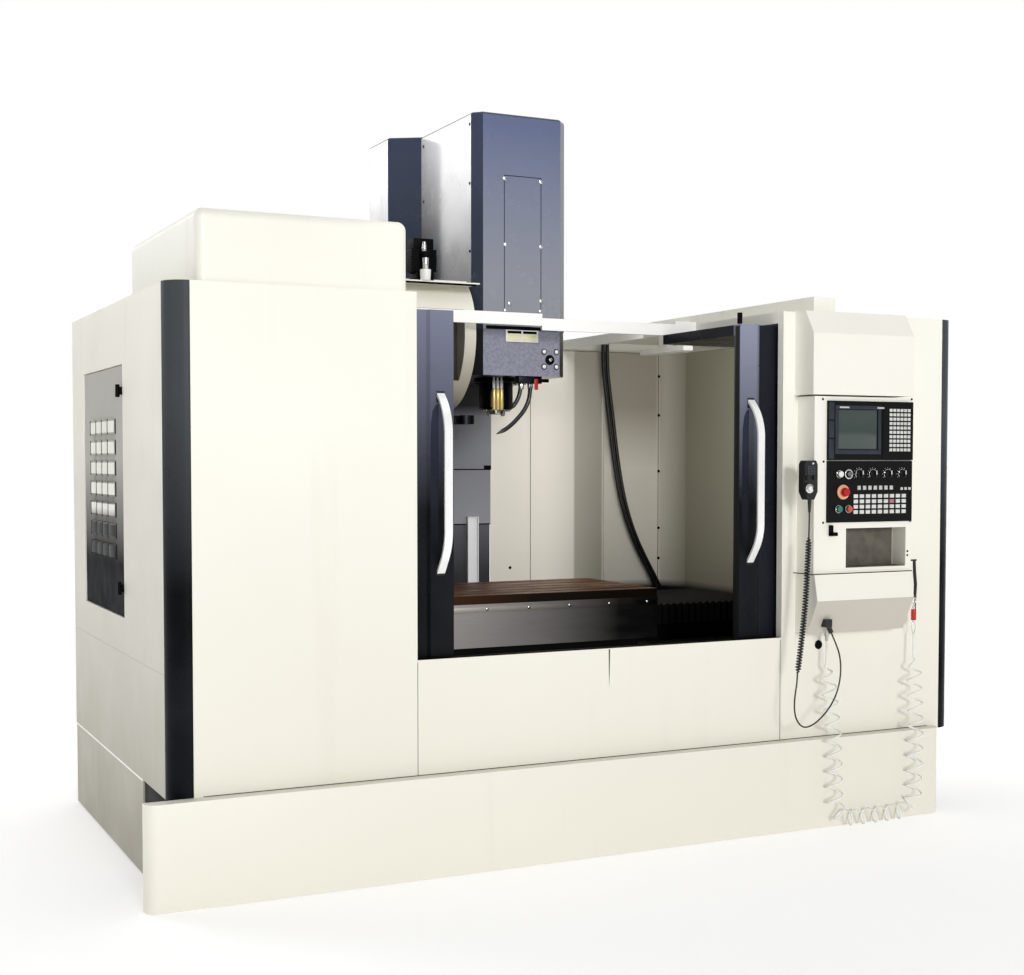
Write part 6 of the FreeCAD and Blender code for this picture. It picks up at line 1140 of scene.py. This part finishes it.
def make_louvre_faces():
    """The swelling face of each louvre, bright with a painted reflection, and a dark rim round it, a painted shadow.
    """
    faces, rims = Shape(), Shape()
    for column in range(LOUVRE_COLUMNS):
        for row in range(LOUVRE_ROWS):
            y, z = LOUVRE_START[0] + LOUVRE_PITCH[0] * column, LOUVRE_START[1] + LOUVRE_PITCH[1] * row
            for k in range(LOUVRE_STRIPS):
                y0, y1 = y + 10 + 13 * k, y + 23 + 13 * k
                x0, x1 = (DOOR_FACE - LOUVRE_SWELL * (1 - (1 - min(1.0, (v - y) / 98)) ** 2.7) - 1.5 for v in (y0, y1))
                faces.faces([(x0, y0, z + 7), (x1, y1, z + 7), (x1, y1, z + 55), (x0, y0, z + 55),
                             (x0 + 1, y0, z + 7), (x1 + 1, y1, z + 7), (x1 + 1, y1, z + 55), (x0 + 1, y0, z + 55)],
                            [(0, 1, 2, 3), (7, 6, 5, 4), (0, 4, 5, 1), (3, 2, 6, 7)] +
                            ([(0, 3, 7, 4)] if k == 0 else []) + ([(1, 5, 6, 2)] if k == LOUVRE_STRIPS - 1 else []))
            # Painted shadow: dark strips beside and above each louvre.
            rims.block((DOOR_FACE - 15.8, DOOR_FACE - 0.5), (y + 88, y + 100), (z - 0.5, z + 62.5))
            rims.block((DOOR_FACE - 2.5, DOOR_FACE), (y - 9, y + 4), (z, z + 62))
    faces.piece("louvre_faces", "cabinet_door", LOUVRE_REFLECTION)
    rims.piece("louvre_rims", "cabinet_door", BLACK_AND_PAINTED_SHADOW)


def make_side_details(screws):
    latches = Shape()
    for z in (1930.0, 1117.0):
        latches.rod((-1854, -332, z), (-1868, -332, z), 17, 16)
        latches.block((-1882, -1866), (-341, -323), (z - 26, z + 26))
    latches.piece("cabinet_door_latches", "cabinet_door", BLACK_AND_PAINTED_SHADOW, 1.5)
    make_louvre_faces()
    # Painted highlight: a bright strip along the lip over the side's base.
    lip_highlight = Shape().block((SIDE_FACE - 0.6, SIDE_FACE), (-683, 788), (380, 388))
    lip_highlight.piece("side_base_seam", "frame", CREAM_RAIL)
    dark = Shape().block((SIDE_FACE + 6, SIDE_FACE + 9), (-1140, -690), (300, 386))
    dark.piece("base_shadow_plate", "frame", BLACK_AND_PAINTED_SHADOW, 0.5)
    wipers = Shape().block((-302, 302), (704.8, 706), (1594, 1600)).block((262, 303), (702, 706), (1600, 1618))
    wipers.piece("upper_cover_wiper", "head", BLACK_AND_PAINTED_SHADOW, 0.5)
    wipers = Shape().block((-300, 300), (709.1, 709.3), (1302, 1308))
    wipers.piece("middle_cover_wiper", "way_cover_middle", BLACK_AND_PAINTED_SHADOW, 0.5)
    repeat("wall_screws", "frame", BLACK_AND_PAINTED_SHADOW, screws["button"],
           [(1362, LINING_FACE, z) for z in (2120, 1900, 1584, 1262, 1090)] +
           [(425, LINING_FACE, z) for z in (2080, 1064)],
           (0, -1, 0), 1.7)
    joints = Shape()
    for x in (546.5, 1005, 1041, 1357, 1397, 1404, 1484):
        joints.plate((x, x + 3), (960, 2245), LINING_FACE, 1.2)
    joints.piece("lining_sheet_joints", "frame", JOINT_LINE)
    strip = Shape().plate((-690, 690), (949, 972), STRIP_FACE, 1.5)
    strip.piece("table_bright_strip", "table", STRIP_STEEL, 0.4)
    repeat("strip_screws", "table", ZINC, screws["button"],
           [(x, STRIP_FACE - 1.5, 962) for x in (-640, -430, -215, 0, 215, 430, 640)], (0, -1, 0), 1.6)


DRIVES = 6
FIRST_DRIVE = -290.0
DRIVE_PITCH = 125


def make_cabinet_inside():
    """Zinc mounting plate, dark module covers and pale terminal rows behind the louvred door."""
    plate = Shape().block((-1463.0, -1461.4), (-358.0, 503.0), (998.0, 2036.0))
    plate.piece("cabinet_mounting_plate", "frame", ZINC)
    covers, terminals = Shape(), Shape()
    for i in range(DRIVES):
        y = FIRST_DRIVE + DRIVE_PITCH * i
        covers.block((-1664.0, -1661.0), (y + 4, y + 91), (1560.0, 1876.0))
        for z in range(1730, 1850, 26):
            covers.block((-1667.0, -1663.5), (y + 14, y + 81), (z, z + 12))
        terminals.block((-1675.0, -1661.0), (y + 10, y + 85), (1508.0, 1544.0))
    covers.block((-1684.0, -1681.0), (-260.0, -40.0), (1060.0, 1240.0))
    covers.piece("drive_covers", "frame", CHARCOAL, 1.0)
    terminals.piece("drive_terminals", "frame", KEY_WHITE, 1.0)


def make_panel_joints():
    """Dark joints between the front sheets, the drip stain under the sill and the fittings beside the doors."""
    joints = Shape()
    for x in (-884, 850):
        joints.plate((x - 1.2, x + 1.2), (404, 850), FRONT_FACE, 0.4)
    joints.plate((-1740, 1690), (400, 404), FRONT_FACE, 0.5)
    joints.piece("front_sheet_joints", "frame", JOINT_LINE)
    drip = Shape()
    drip.faces([(-23, FRONT_FACE - 0.3, 855), (-16, FRONT_FACE - 0.3, 855), (-18, FRONT_FACE - 0.3, 760),
                (-20, FRONT_FACE - 0.3, 690), (-22, FRONT_FACE - 0.3, 760)], [(0, 1, 2, 3, 4)])
    drip.piece("sill_drip_stain", "frame", JOINT_LINE)
    Shape().block((-882, 853), (-1146, -1099), (859, 860)).piece("sill_gasket", "frame", BLACK_AND_PAINTED_SHADOW, 0.2)
    Shape().block((650, 668), (-1108, -1092), (2241, 2290)).piece("right_door_stop_post", "right_door", BLACK_AND_PAINTED_SHADOW, 2.0)
    # Painted shadow: a dark sheet in the notch under the left trim.
    Shape().block((-1925, -1700), (-1190, -1120), (376, 380)).piece("tank_end_cover", "frame", BLACK_AND_PAINTED_SHADOW, 0.5)
    # Painted shade: a dark sheet on the back and floor of the pocket, for its depth.
    mat = Shape().block((1114, 1444), (-1182.5, -1180.5), (1172, 1341))
    mat.block((1114, 1444), (-1268, -1184), (1169.5, 1172))
    mat.piece("pocket_mat", "frame", POCKET_SHADE, 0.5)
    Shape().stud((1059, 817), (FRONT_FACE, FRONT_FACE - 5), 21, 18, 40).piece("hole_cap", "frame", BLACK_AND_PAINTED_SHADOW, 1.5)


def make_lamp_diffuser():
    Shape().block((1014, 1062), (-84, 334), (2202, 2206)).piece("lamp_diffuser", "frame", LAMP_GLASS, 1.0)


def make_magazine_drive():
    """Cam box, gear motor with its ribs, and the filter in front of it."""
    z = 2446.0
    box = Shape().block((-370, -263), (-130, 130), (1960, 2467)).rod((-370, 0, 2217), (-452, 0, 2217), 29.7, sides=40)
    box.piece("arm_cam_box", "frame", CASTING_GREY, 3.0, ("magazine_drive",))
    motor = Shape().block((-553, -467), (-338, -262), (z, z + 42))
    motor.block((-578, -458), (-345, -255), (z + 42, z + 142))
    motor.block((-565, -470), (-340, -260), (z + 142, z + 190))
    for k in range(8):
        motor.block((-580, -456), (-347, -253), (z + 50 + k * 11, z + 54 + k * 11))
    motor.piece("magazine_gear_motor", "frame", BLACK_AND_PAINTED_SHADOW, 2.0)
    x, y = -523, -372
    # Painted shadow: a thin black strip under the magazine's lip.
    Shape().block((-690, -275), (-378, -366), (2432, 2439.5)).piece("magazine_lip_gasket", "frame", BLACK_AND_PAINTED_SHADOW, 1.0)
    Shape().post((x, y), (z, z + 48), 22, 25, 32).piece("filter_foot", "frame", WHITE_ABS, 1.0)
    glass = Shape().post((x, y), (z + 48, z + 100), 14, 16, 32)
    glass.post((x - 6, y), (z + 128, z + 170), 11, 8, 32)
    glass.piece("filter_glass", "frame", SATIN_CHROME, 1.0)
    Shape().post((x, y), (z + 100, z + 128), 19, 18, 12).piece("filter_knob", "frame", BLACK_AND_PAINTED_SHADOW, 1.5)


make_camera()
bpy.context.scene.view_settings.view_transform = "Standard"
make_sky()
make_sun()
for light in SOFT_LIGHTS:
    make_lamp(*light)
make_floor()
finish_cad_pieces()
SCREWS = {
    "button": screw_head("button_screw", (0, 1.4, 5.0, 4.6, 16), (1.4, 2.4, 4.6, 2.6, 16)),
    "socket": screw_head("socket_screw", (0, 6.0, 6.5, 6.2, 16), (6.0, 6.4, 4.0, 3.6, 6)),
}
make_pendant_cord()
make_wash_hoses()
make_air_hose()
make_bellows()
make_door_details()
make_head_details(SCREWS)
make_spindle_nose(SCREWS)
make_display()
make_control_details(SCREWS)
make_side_details(SCREWS)
make_cabinet_inside()
make_panel_joints()
make_pendant_details()
make_air_gun()
make_lamp_diffuser()
make_magazine_drive()
for used in SCREWS.values():
    bpy.data.objects.remove(used)
